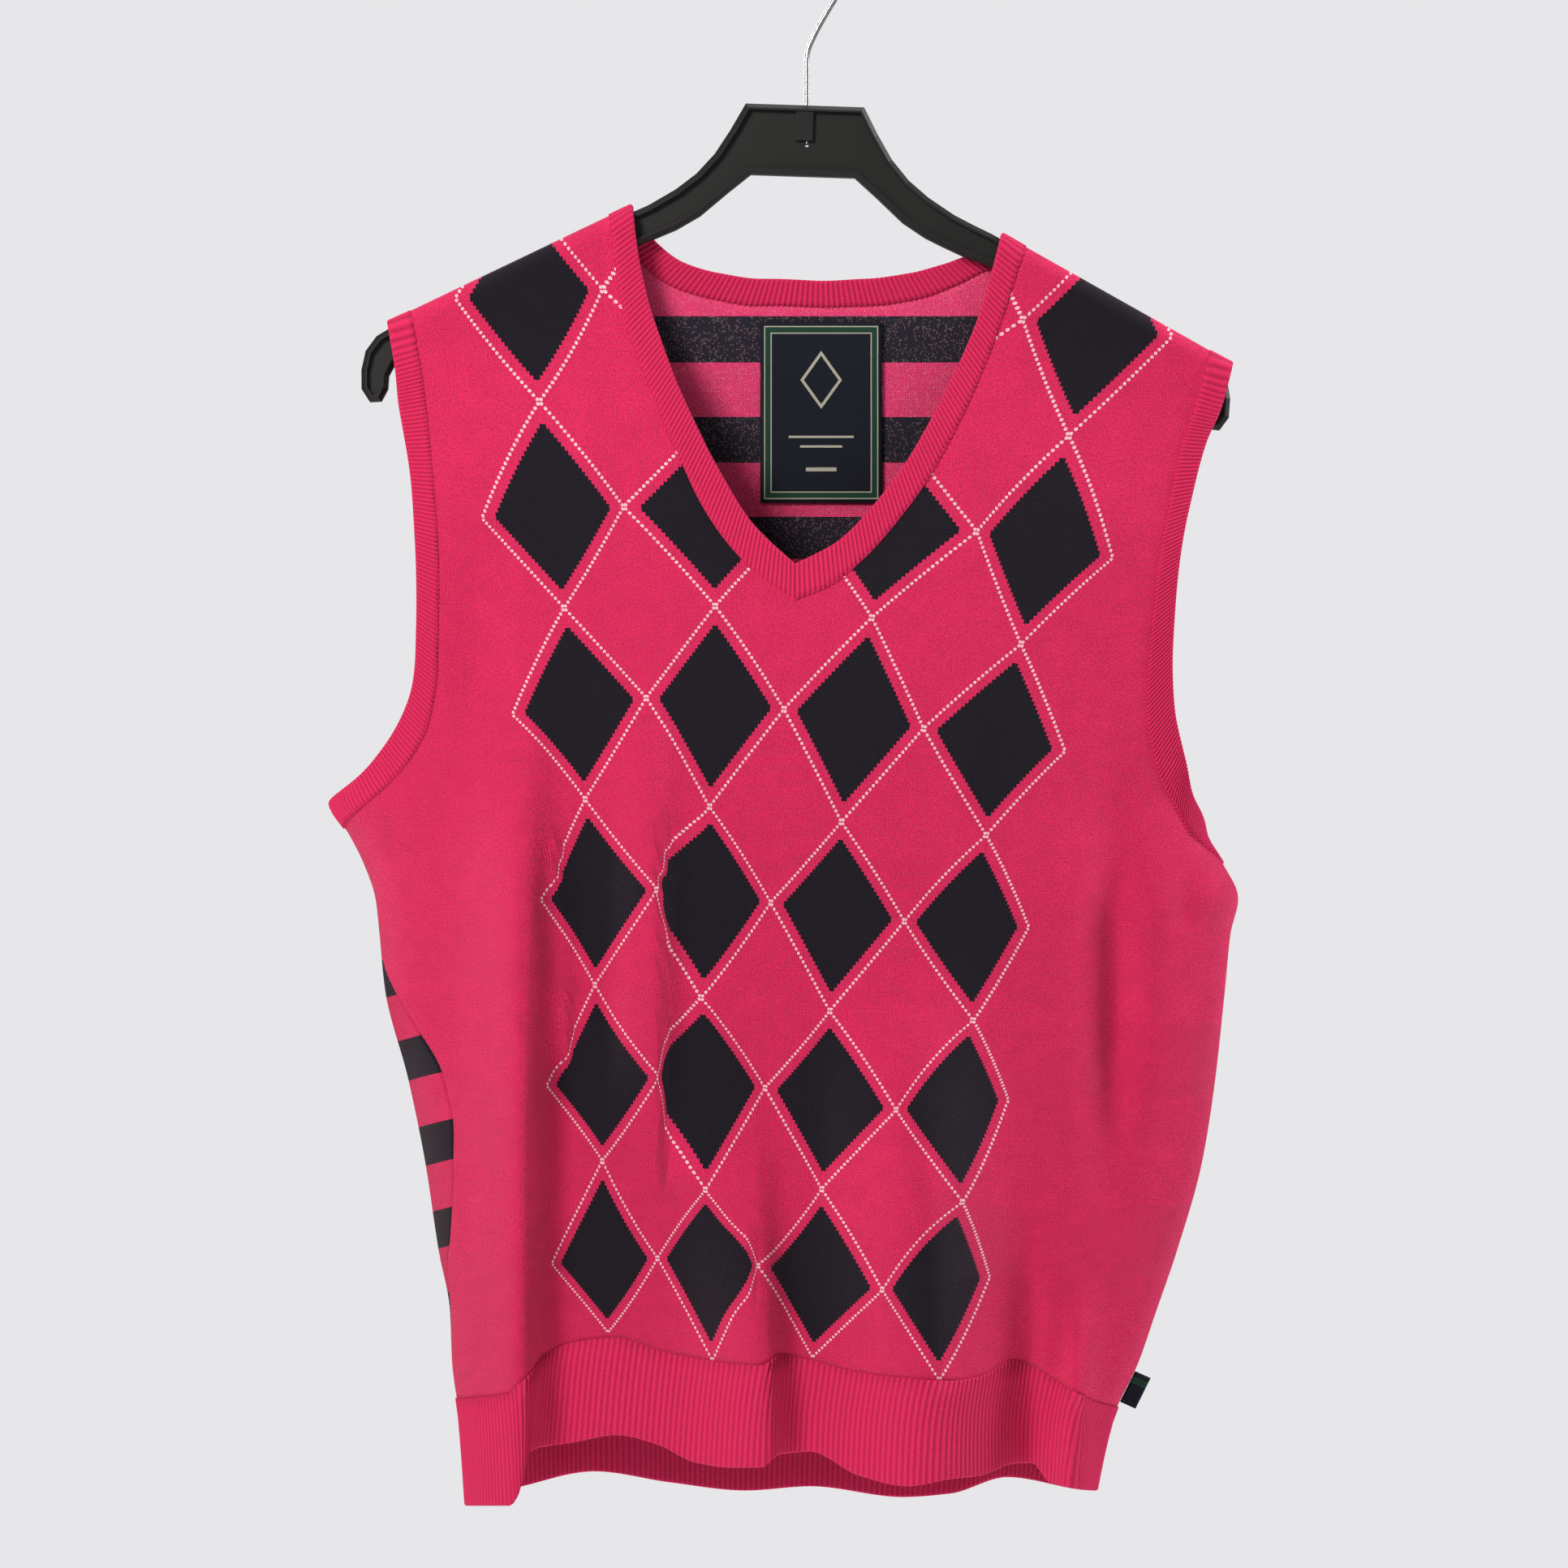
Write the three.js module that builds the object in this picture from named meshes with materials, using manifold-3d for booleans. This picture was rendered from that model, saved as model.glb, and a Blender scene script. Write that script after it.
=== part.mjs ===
// A knitted V-neck sweater vest on a moulded hanger, in millimetres, +Z up.
// The origin is the inside top of the hook, where a rail bears. +X is to the right seen from the front,
// the front faces -Y, and the hanger lies in the plane Y = 0.
//
// The cloth is described on a chart of two numbers. "turn" is the angle round the body, 0 at the front and
// pi at the back. "way" is the length of cloth from the crest over the hanger, and a negative way is past
// the crest, on the other side. The tables give places as they are seen from EYE_DISTANCE in front,
// measured in the hanger's plane, and clothPoint moves each one along the line of sight to its own depth.
import * as THREE from "three";
import { mergeVertices } from "three/addons/utils/BufferGeometryUtils.js";
import Module from "manifold-3d";

const wasm = await Module();
wasm.setup();

// The view that the tables are measured from
const EYE_DISTANCE = 2200;
const EYE_X = -12;
const EYE_Z = -452;

// Cloth
const WALL = 1.8; // jersey of the two panels
const RIB_WALL = 2.0; // ribbed bands between their ribs
const RIB_RISE = 0.7; // how far a rib stands above the groove beside it
const LABEL_WALL = 1.0;
const SEAM_GAP = 0.3;
const HEM_RIB_PITCH = 3.4;
const NECK_RIB_PITCH = 3.0;
const ARMHOLE_RIB_PITCH = 4.8;

// Hanger
const HANGER_THICK = 9;
const HANGER_CHAMFER = 2.2;
const HANGER_WEB = 3;
const HANGER_RIM = 3.2; // width of the raised rim round the recessed web
const HANGER_TILT = THREE.MathUtils.degToRad(1.9); // it hangs a little low on the right
const HEAD_X = -1; // middle of the hanger's top edge
const HEAD_Z = -97;
const ARM_START = 97; // from here out, the arm's top edge is straight
const ARM_START_DROP = 62.5;
const ARM_SLOPE = 0.52;

// Where the cloth goes over the hanger
const CREST_RADIUS = 7.5; // of the wall's middle
const CREST_LIFT = 2.6; // from the hanger's top edge to the wall's middle
const SHOULDER_SEAM_WAY = 18; // the shoulder seam lies this far behind the crest
const DRAPE_LENGTH = 130; // below the crest, the cloth takes this long to reach its full depth

// Hook
const WIRE_RADIUS = 1.4;
const HOOK_RADIUS = 22.6;
const BORE_GAP = 0.3;

const HALF_PI = Math.PI / 2;

// How often a place is worked out again from its last value
const TILT_ROUNDS = 4;
const CHART_ROUNDS = 12;
const HALVINGS = 40;
const NEAR_CREST = 0.4; // a curve crosses the crest within this share of its length

const radians = THREE.MathUtils.degToRad;

// Width and depth of the body, a row for each level. Above the armholes the sides are where the curve of
// the front would end if it went on.
const BODY = [
  { z: -90, left: -310, right: 320, front: 8, back: 8 },
  { z: -200, left: -290, right: 295, front: 12, back: 14 },
  { z: -260, left: -275, right: 276, front: 23, back: 24 },
  { z: -320, left: -262, right: 252, front: 35, back: 34 },
  { z: -370, left: -253, right: 237, front: 45, back: 43 },
  { z: -410, left: -247, right: 223, front: 52, back: 49 },
  { z: -440, left: -247, right: 212, front: 56, back: 53 },
  { z: -461, left: -249, right: 206, front: 58, back: 55 },
  { z: -478, left: -239, right: 208, front: 59, back: 56 },
  { z: -494, left: -231, right: 217, front: 60, back: 57 },
  { z: -512, left: -225, right: 225, front: 60, back: 58 },
  { z: -530, left: -223, right: 221, front: 60, back: 59 },
  { z: -560, left: -220, right: 218, front: 59, back: 60 },
  { z: -606, left: -208, right: 213, front: 57, back: 60 },
  { z: -650, left: -199, right: 206, front: 54, back: 61 },
  { z: -696, left: -192, right: 193, front: 50, back: 61 },
  { z: -728, left: -186, right: 182, front: 46, back: 60 },
  { z: -754, left: -185, right: 173, front: 44, back: 60 },
  { z: -785, left: -181, right: 159, front: 42, back: 58 },
  { z: -840, left: -177, right: 147, front: 40, back: 56 },
];

// How far each side seam lies from the body's side, in degrees: forwards on the left, backwards on the right
const SIDE_SEAMS = [
  { z: -461, left: 0, right: 8 },
  { z: -540, left: 3, right: 7 },
  { z: -560, left: 12, right: 6 },
  { z: -583, left: 20, right: 5 },
  { z: -615, left: 25, right: 5 },
  { z: -640, left: 23, right: 4 },
  { z: -687, left: 16, right: 3 },
  { z: -720, left: 5, right: 1 },
  { z: -760, left: 0, right: 0 },
  { z: -840, left: 0, right: 0 },
];

// Wale down the middle of the front
const MIDDLE = [
  { z: -355.3, x: -6.2 },
  { z: -413, x: -12 },
  { z: -514, x: -19 },
  { z: -611, x: -22 },
  { z: -704, x: -26 },
  { z: -840, x: -29 },
];

// Neck bands, from the shoulder to the point of the V: the seam to the panel and the free edge
const NECK_CREST = {
  left: { seamX: -102.5, edgeX: -91 },
  right: { seamX: 113.5, edgeX: 101.5 },
};
const NECK_LEFT = [
  { seamX: -99.7, seamZ: -179.4, edgeX: -89, edgeZ: -169 },
  { seamX: -95.4, seamZ: -206.6, edgeX: -83.5, edgeZ: -196.8 },
  { seamX: -86.9, seamZ: -230.8, edgeX: -76.3, edgeZ: -219.3 },
  { seamX: -79.3, seamZ: -249.9, edgeX: -67.4, edgeZ: -243 },
  { seamX: -65.7, seamZ: -282.2, edgeX: -53.8, edgeZ: -272.4 },
  { seamX: -55, seamZ: -305, edgeX: -43.1, edgeZ: -292.4 },
  { seamX: -40.2, seamZ: -326.8, edgeX: -29.5, edgeZ: -314 },
  { seamX: -25.3, seamZ: -341.7, edgeX: -18.5, edgeZ: -325.6 },
  { seamX: -6.2, seamZ: -355.3, edgeX: -6.2, edgeZ: -336.6 },
];
const NECK_RIGHT = [
  { seamX: 109.4, seamZ: -184, edgeX: 97.5, edgeZ: -180.6 },
  { seamX: 100.9, seamZ: -210.4, edgeX: 89.9, edgeZ: -206.6 },
  { seamX: 91.6, seamZ: -235, edgeX: 80.5, edgeZ: -229.5 },
  { seamX: 77.1, seamZ: -266.9, edgeX: 65.7, edgeZ: -259.3 },
  { seamX: 62.7, seamZ: -292.8, edgeX: 50.8, edgeZ: -284.8 },
  { seamX: 44, seamZ: -317.9, edgeX: 32.9, edgeZ: -308.1 },
  { seamX: 27.8, seamZ: -335.3, edgeX: 16.8, edgeZ: -324.3 },
  { seamX: 10.8, seamZ: -348.5, edgeX: 4.5, edgeZ: -331.5 },
  { seamX: -6.2, seamZ: -355.3, edgeX: -6.2, edgeZ: -336.6 },
];

// Back neck band, from the left shoulder seam to the right one
const BACK_NECK_ENDS = {
  left: { seamX: -97, edgeX: -85.5 },
  right: { seamX: 107, edgeX: 95 },
};
const NECK_BACK = [
  { seamX: -88, seamZ: -177, edgeX: -78, edgeZ: -169 },
  { seamX: -73.3, seamZ: -189.6, edgeX: -65, edgeZ: -178.6 },
  { seamX: -48.7, seamZ: -197.6, edgeX: -45.3, edgeZ: -184.5 },
  { seamX: -25.3, seamZ: -201, edgeX: -23.6, edgeZ: -187.4 },
  { seamX: 3.2, seamZ: -201.5, edgeX: 3.2, edgeZ: -188.3 },
  { seamX: 32, seamZ: -201, edgeX: 30.4, edgeZ: -187.4 },
  { seamX: 57.6, seamZ: -197.6, edgeX: 53.3, edgeZ: -184.5 },
  { seamX: 78, seamZ: -190.4, edgeX: 71.2, edgeZ: -179.8 },
  { seamX: 95, seamZ: -182.5, edgeX: 86.5, edgeZ: -174.7 },
];

// Armhole bands, from the shoulder down the front: the seam to the panel and the free edge
const ARMHOLE_CREST = {
  left: { seamX: -208, edgeX: -219.5 },
  right: { seamX: 211, edgeX: 222.5 },
};
const ARMHOLE_LEFT = [
  { seamX: -204.6, seamZ: -224.4, edgeX: -216.5, edgeZ: -230 },
  { seamX: -200, seamZ: -254.6, edgeX: -213.5, edgeZ: -256 },
  { seamX: -197, seamZ: -285, edgeX: -208.5, edgeZ: -285 },
  { seamX: -194, seamZ: -322, edgeX: -205.5, edgeZ: -322 },
  { seamX: -193.5, seamZ: -367, edgeX: -204.6, edgeZ: -367 },
  { seamX: -194.5, seamZ: -400, edgeX: -206, edgeZ: -396 },
  { seamX: -199.5, seamZ: -423.7, edgeX: -212, edgeZ: -416 },
  { seamX: -211, seamZ: -442.9, edgeX: -222, edgeZ: -433 },
  { seamX: -226, seamZ: -458, edgeX: -237, edgeZ: -450 },
];
const ARMHOLE_RIGHT = [
  { seamX: 207.5, seamZ: -243, edgeX: 218.7, edgeZ: -250 },
  { seamX: 197, seamZ: -275, edgeX: 209, edgeZ: -274 },
  { seamX: 190.2, seamZ: -307.3, edgeX: 200.4, edgeZ: -307.3 },
  { seamX: 183.5, seamZ: -347, edgeX: 194, edgeZ: -347 },
  { seamX: 180, seamZ: -380, edgeX: 191.7, edgeZ: -380 },
  { seamX: 178.7, seamZ: -415, edgeX: 192.5, edgeZ: -412 },
  { seamX: 184, seamZ: -444, edgeX: 198, edgeZ: -439 },
  { seamX: 192, seamZ: -462, edgeX: 202, edgeZ: -459 },
  { seamX: 201, seamZ: -479, edgeX: 205.5, edgeZ: -467 },
];
const UNDERARM = {
  left: { seamZ: -474, edgeZ: -461 },
  right: { seamZ: -494, edgeZ: -480 },
};
const BACK_ARMHOLE_INSET = 4; // the back's armholes are cut this much deeper at mid height

// Ribbed hem: the seam to the panel and the free edge, from left to right
const HEM_FRONT = [
  { x: -186, seamZ: -775, edgeZ: -830 },
  { x: -156, seamZ: -772, edgeZ: -830 },
  { x: -151, seamZ: -767, edgeZ: -824 },
  { x: -146, seamZ: -761, edgeZ: -802 },
  { x: -138, seamZ: -751, edgeZ: -799 },
  { x: -123, seamZ: -745, edgeZ: -797 },
  { x: -100, seamZ: -742.5, edgeZ: -793 },
  { x: -78, seamZ: -749, edgeZ: -798 },
  { x: -58, seamZ: -753, edgeZ: -807.5 },
  { x: -39, seamZ: -756, edgeZ: -810 },
  { x: -24, seamZ: -757, edgeZ: -810 },
  { x: -15, seamZ: -751, edgeZ: -803.3 },
  { x: 1.5, seamZ: -754, edgeZ: -801.6 },
  { x: 27, seamZ: -760.5, edgeZ: -814 },
  { x: 53, seamZ: -763.7, edgeZ: -819.8 },
  { x: 75, seamZ: -765, edgeZ: -816 },
  { x: 90, seamZ: -762.5, edgeZ: -814.3 },
  { x: 108, seamZ: -754, edgeZ: -808 },
  { x: 118, seamZ: -757, edgeZ: -807.5 },
  { x: 128, seamZ: -763, edgeZ: -818 },
  { x: 150, seamZ: -776, edgeZ: -822 },
  { x: 175, seamZ: -781, edgeZ: -822 },
];
const HEM_BACK = [
  { x: -186, seamZ: -775, edgeZ: -830 },
  { x: -150, seamZ: -766, edgeZ: -820 },
  { x: -111, seamZ: -758, edgeZ: -812 },
  { x: -72, seamZ: -763, edgeZ: -817.7 },
  { x: -32, seamZ: -767, edgeZ: -822 },
  { x: 2, seamZ: -765, edgeZ: -819.8 },
  { x: 50, seamZ: -770, edgeZ: -825.4 },
  { x: 75, seamZ: -769, edgeZ: -823.6 },
  { x: 105, seamZ: -767, edgeZ: -815 },
  { x: 150, seamZ: -776, edgeZ: -822 },
  { x: 175, seamZ: -781, edgeZ: -822 },
];

// Folds of the front and back: a crest that runs from the top place to the low one, how far it stands
// forward of the cloth round it (a negative one is a trough), and its reach to each side
const FRONT_FOLDS = [
  { topX: -149, topZ: -400, lowX: -151, lowZ: -700, rise: 30, reachLeft: 22, reachRight: 11, ends: false },
  { topX: -131, topZ: -430, lowX: -129, lowZ: -620, rise: 6, reachLeft: 10, reachRight: 8, ends: true },
  { topX: -78, topZ: -360, lowX: -77, lowZ: -660, rise: 11, reachLeft: 24, reachRight: 8, ends: true },
  { topX: -31, topZ: -600, lowX: -22, lowZ: -770, rise: 22, reachLeft: 30, reachRight: 9, ends: false },
  { topX: 55, topZ: -520, lowX: 66, lowZ: -780, rise: 32, reachLeft: 42, reachRight: 30, ends: false },
  { topX: 114, topZ: -640, lowX: 114, lowZ: -780, rise: -12, reachLeft: 14, reachRight: 9, ends: false },
  { topX: 146, topZ: -700, lowX: 139, lowZ: -800, rise: 20, reachLeft: 8, reachRight: 9, ends: false },
  { topX: 161, topZ: -400, lowX: 163, lowZ: -660, rise: -9, reachLeft: 13, reachRight: 15, ends: true },
  { topX: -168, topZ: -270, lowX: -176, lowZ: -440, rise: -5, reachLeft: 14, reachRight: 18, ends: true },
];
const BACK_FOLDS = [
  { topX: -140, topZ: -430, lowX: -136, lowZ: -740, rise: 16, reachLeft: 26, reachRight: 16, ends: false },
  { topX: -84, topZ: -500, lowX: -92, lowZ: -740, rise: -9, reachLeft: 20, reachRight: 17, ends: false },
  { topX: -38, topZ: -540, lowX: -34, lowZ: -760, rise: 11, reachLeft: 22, reachRight: 26, ends: false },
  { topX: 36, topZ: -470, lowX: 28, lowZ: -730, rise: -10, reachLeft: 24, reachRight: 18, ends: false },
  { topX: 92, topZ: -420, lowX: 84, lowZ: -720, rise: 14, reachLeft: 24, reachRight: 20, ends: false },
  { topX: 156, topZ: -450, lowX: 128, lowZ: -740, rise: -7, reachLeft: 16, reachRight: 15, ends: false },
];
const FOLD_START = 150; // a fold takes this much of its length, at most, to reach its full rise
const FOLD_END = 0.35; // one that ends takes this share of its length to die away
const SIDE_OPEN = 0.35; // folds and depth come in where the cloth faces this far forward of the side

// Woven label inside the back, and the small tag in the right side seam
const LABEL = { left: -24.4, right: 39.3, top: -210, bottom: -304.5 };
const LABEL_GAP = 1.0; // it hangs this far off the panel
const LABEL_COLUMNS = 6;
const LABEL_ROWS = 8;
const TAG = { topZ: -759, lowZ: -775, length: 9, wall: 1.2, gap: 0.35, lean: radians(17) };

// Grid steps of the panels
const FRONT_COLUMNS = 22; // in each half
const FOLD_SQUEEZE = 0.07; // the columns lie closer by the folds near each side
const BACK_COLUMNS = 16;
const CREST_STEPS = 5; // facets round the crest
const FRONT_SIDE_ROWS = { corner: 8, rest: 10 }; // down to the underarm, and from there to the hem
const FRONT_INNER_ROWS = { corner: 6, rest: 12 }; // down to the point of the V, and from there to the hem
const BACK_ROWS = { corner: 7, rest: 10 };

// Curves through a table's rows, with no overshoot between them
function through(keys, values) {
  const last = keys.length - 1;
  const slopes = [];
  for (let i = 0; i < last; i++) slopes.push((values[i + 1] - values[i]) / (keys[i + 1] - keys[i]));
  const tangents = keys.map((key, i) => {
    if (i === 0) return slopes[0];
    if (i === last) return slopes[last - 1];
    const before = slopes[i - 1];
    const after = slopes[i];
    return before * after > 0 ? (2 * before * after) / (before + after) : 0;
  });
  return (key) => {
    if (key <= keys[0]) return values[0];
    if (key >= keys[last]) return values[last];
    let i = 0;
    while (keys[i + 1] < key) i++;
    const span = keys[i + 1] - keys[i];
    const t = (key - keys[i]) / span;
    const rest = 1 - t;
    return (
      (1 + 2 * t) * rest * rest * values[i] +
      t * rest * rest * span * tangents[i] +
      t * t * (3 - 2 * t) * values[i + 1] -
      t * t * rest * span * tangents[i + 1]
    );
  };
}

function column(rows, key, name) {
  const sorted = [...rows].sort((a, b) => a[key] - b[key]);
  return through(
    sorted.map((row) => row[key]),
    sorted.map((row) => row[name]),
  );
}

const bodyLeft = column(BODY, "z", "left");
const bodyRight = column(BODY, "z", "right");
const frontDepth = column(BODY, "z", "front");
const backDepth = column(BODY, "z", "back");
const middleX = column(MIDDLE, "z", "x");
const leftSeamTurn = column(SIDE_SEAMS, "z", "left");
const rightSeamTurn = column(SIDE_SEAMS, "z", "right");

const bodyCentre = (z) => (bodyLeft(z) + bodyRight(z)) / 2;
const bodyHalf = (z) => (bodyRight(z) - bodyLeft(z)) / 2;
const mix = THREE.MathUtils.lerp;
const ease = (t) => THREE.MathUtils.smoothstep(t, 0, 1);

// Top edge of the hanger in its own upright frame, carried on as a low dome behind the head
function armTop(x) {
  const out = Math.abs(x);
  if (out >= ARM_START) return -ARM_START_DROP - ARM_SLOPE * (out - ARM_START);
  return -ARM_START_DROP + (ARM_SLOPE * ARM_START * (1 - (out / ARM_START) ** 2)) / 2;
}

// Height of the cloth's crest over the hanger
function crestHeight(x) {
  const tiltSine = Math.sin(HANGER_TILT);
  const tiltCosine = Math.cos(HANGER_TILT);
  let own = x - HEAD_X;
  for (let i = 0; i < TILT_ROUNDS; i++) own = (x - HEAD_X - armTop(own) * tiltSine) / tiltCosine;
  return HEAD_Z + armTop(own) * tiltCosine - own * tiltSine + CREST_LIFT;
}

const CREST_WAY = CREST_RADIUS * HALF_PI;
function dropAt(way) {
  const out = Math.abs(way);
  if (out < CREST_WAY) return CREST_RADIUS * (1 - Math.cos(out / CREST_RADIUS));
  return CREST_RADIUS + out - CREST_WAY;
}

function wayAt(drop) {
  if (drop < CREST_RADIUS) return CREST_RADIUS * Math.acos(1 - Math.max(drop, 0) / CREST_RADIUS);
  return drop - CREST_RADIUS + CREST_WAY;
}

function foldRise(folds, x, z) {
  let rise = 0;
  for (const fold of folds) {
    const length = fold.topZ - fold.lowZ;
    const along = (fold.topZ - z) / length;
    if (along <= 0) continue;
    const x0 = mix(fold.topX, fold.lowX, Math.min(along, 1));
    const reach = x < x0 ? fold.reachLeft : fold.reachRight;
    const start = ease((along * length) / Math.min(FOLD_START, length));
    const end = fold.ends ? ease((1 - along) / FOLD_END) : 1;
    rise += fold.rise * start * end * Math.exp(-(((x - x0) / reach) ** 2));
  }
  return rise;
}

// Place of a chart point as it is seen from the front
function seenPlace(turn, way) {
  let x = 0;
  let z = -300;
  for (let i = 0; i < CHART_ROUNDS; i++) {
    z = crestHeight(x) - dropAt(way);
    x = bodyCentre(z) + bodyHalf(z) * Math.sin(turn);
  }
  return { x, z };
}

// Middle of the cloth's wall at a chart point
function clothPoint(turn, way) {
  const { x, z } = seenPlace(turn, way);
  const facing = Math.cos(turn);
  const front = facing >= 0 === way >= 0;
  const depth = front ? frontDepth(z) : backDepth(z);
  const open = ease(Math.abs(facing) / SIDE_OPEN);
  const out = Math.abs(way);
  const round = CREST_RADIUS * Math.sin(Math.min(out / CREST_RADIUS, HALF_PI)) * open;
  const drape = (depth - CREST_RADIUS) * Math.abs(facing) * ease(out / DRAPE_LENGTH);
  const folds = foldRise(front ? FRONT_FOLDS : BACK_FOLDS, x, z) * open;
  const y = (round + drape + folds) * (front ? -1 : 1);
  const scale = (EYE_DISTANCE + y) / EYE_DISTANCE;
  return new THREE.Vector3(EYE_X + (x - EYE_X) * scale, y, EYE_Z + (z - EYE_Z) * scale);
}

const TURN_STEP = 0.004;
const WAY_STEP = 0.4;
function clothSlopes(turn, way) {
  const acrossStep = clothPoint(turn + TURN_STEP, way).sub(clothPoint(turn - TURN_STEP, way));
  const downStep = clothPoint(turn, way + WAY_STEP).sub(clothPoint(turn, way - WAY_STEP));
  return {
    across: acrossStep.divideScalar(2 * TURN_STEP),
    down: downStep.divideScalar(2 * WAY_STEP),
  };
}

// The wall's direction outwards
function clothNormal(turn, way) {
  const { across, down } = clothSlopes(turn, way);
  return down.cross(across).normalize();
}

// Chart point of a place seen on the front, or on the inside of the back
function frontChart(x, z) {
  const sine = THREE.MathUtils.clamp((x - bodyCentre(z)) / bodyHalf(z), -1, 1);
  return [Math.asin(sine), wayAt(crestHeight(x) - z)];
}

function backChart(x, z) {
  const [turn, way] = frontChart(x, z);
  return [Math.PI - turn, way];
}

// A chart curve through a list of chart points, spaced by the length of cloth between them
function chartCurve(points) {
  const keys = [0];
  for (let i = 1; i < points.length; i++) {
    const step = clothPoint(...points[i]).distanceTo(clothPoint(...points[i - 1]));
    keys.push(keys[i - 1] + Math.max(step, 0.01));
  }
  const length = keys[keys.length - 1];
  const turn = through(keys, points.map((p) => p[0]));
  const way = through(keys, points.map((p) => p[1]));
  const at = (t) => [turn(t * length), way(t * length)];
  return { length, at, place: (t) => placeOf(at(t)) };
}

// Middle of the wall and its direction outwards
function placeOf(chart) {
  return { point: clothPoint(...chart), normal: clothNormal(...chart) };
}

const HALF_GAP = SEAM_GAP / 2;
const ARMHOLE_GAP = 0.6; // wider than the other seams, where the underarm twists
const HEM_GAP = 0.8; // wider than the other seams, where the hem steps over a fold

function merged(geometry) {
  for (const name of ["normal", "uv"]) geometry.deleteAttribute(name);
  return mergeVertices(geometry, 1e-4);
}

function solid(geometry) {
  const shape = merged(geometry);
  return new wasm.Manifold(
    new wasm.Mesh({
      numProp: 3,
      vertProperties: new Float32Array(shape.attributes.position.array),
      triVerts: new Uint32Array(shape.index.array),
    }),
  );
}

function geometryOf(manifold) {
  const { vertProperties, triVerts } = manifold.getMesh();
  const geometry = new THREE.BufferGeometry();
  geometry.setAttribute("position", new THREE.BufferAttribute(vertProperties, 3));
  geometry.setIndex(new THREE.BufferAttribute(triVerts, 1));
  return geometry;
}

// A closed wall round a sheet of quads: points of its middle, its normals and the corners of each quad
function wallGeometry(points, normals, quads, thickness) {
  const count = points.length;
  const positions = [];
  for (const side of [0.5, -0.5]) {
    points.forEach((p, i) => positions.push(...p.clone().addScaledVector(normals[i], side * thickness)));
  }
  const faces = [];
  const open = new Map();
  for (const [a, b, c, d] of quads) {
    faces.push(a, b, c, a, c, d);
    faces.push(count + a, count + c, count + b, count + a, count + d, count + c);
    for (const [p, q] of [[a, b], [b, c], [c, d], [d, a]]) {
      if (!open.delete(q + "," + p)) open.set(p + "," + q, [p, q]);
    }
  }
  for (const [p, q] of open.values()) faces.push(q, p, count + p, q, count + p, count + q);
  const geometry = new THREE.BufferGeometry();
  geometry.setAttribute("position", new THREE.Float32BufferAttribute(positions, 3));
  geometry.setIndex(faces);
  return geometry;
}

// Share of the way across half the front, with the columns closer together a quarter of the way in
const squeezed = (s) => s - FOLD_SQUEEZE * (1 - Math.cos(2 * Math.PI * s));
const even = (s) => s;

// A patch of chart points between four edges. rows gives, for each row, its place along the left edge,
// along the right edge, and its share of the bottom edge in the blend.
function patch(edges, columns, rows, spread) {
  const { top, bottom, left, right } = edges;
  return rows.map(({ leftAt, rightAt, share }) => {
    const line = [];
    for (let i = 0; i <= columns; i++) {
      const s = i / columns;
      const across = spread(s);
      const mixed = [0, 1].map((k) => {
        const sides = mix(left.at(leftAt)[k], right.at(rightAt)[k], across);
        const ends = mix(top.at(s)[k], bottom.at(s)[k], share);
        const cornersTop = mix(left.at(0)[k], right.at(0)[k], across);
        const cornersLow = mix(left.at(1)[k], right.at(1)[k], across);
        return sides + ends - mix(cornersTop, cornersLow, share);
      });
      line.push(mixed);
    }
    return line;
  });
}

// One sheet from two patches that share a middle column below the neck
function panelGeometry(leftGrid, rightGrid, joinedFrom) {
  const points = [];
  const normals = [];
  const quads = [];
  const add = ([turn, way]) => {
    points.push(clothPoint(turn, way));
    normals.push(clothNormal(turn, way));
    return points.length - 1;
  };
  const leftIds = leftGrid.map((line) => line.map(add));
  const rightIds = rightGrid.map((line, row) =>
    line.map((chart, i) => (i === 0 && row >= joinedFrom ? leftIds[row][line.length - 1] : add(chart))),
  );
  for (const ids of [leftIds, rightIds]) {
    for (let row = 0; row + 1 < ids.length; row++) {
      for (let i = 0; i + 1 < ids[row].length; i++) {
        quads.push([ids[row][i], ids[row + 1][i], ids[row + 1][i + 1], ids[row][i + 1]]);
      }
    }
  }
  return wallGeometry(points, normals, quads, WALL);
}

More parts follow.
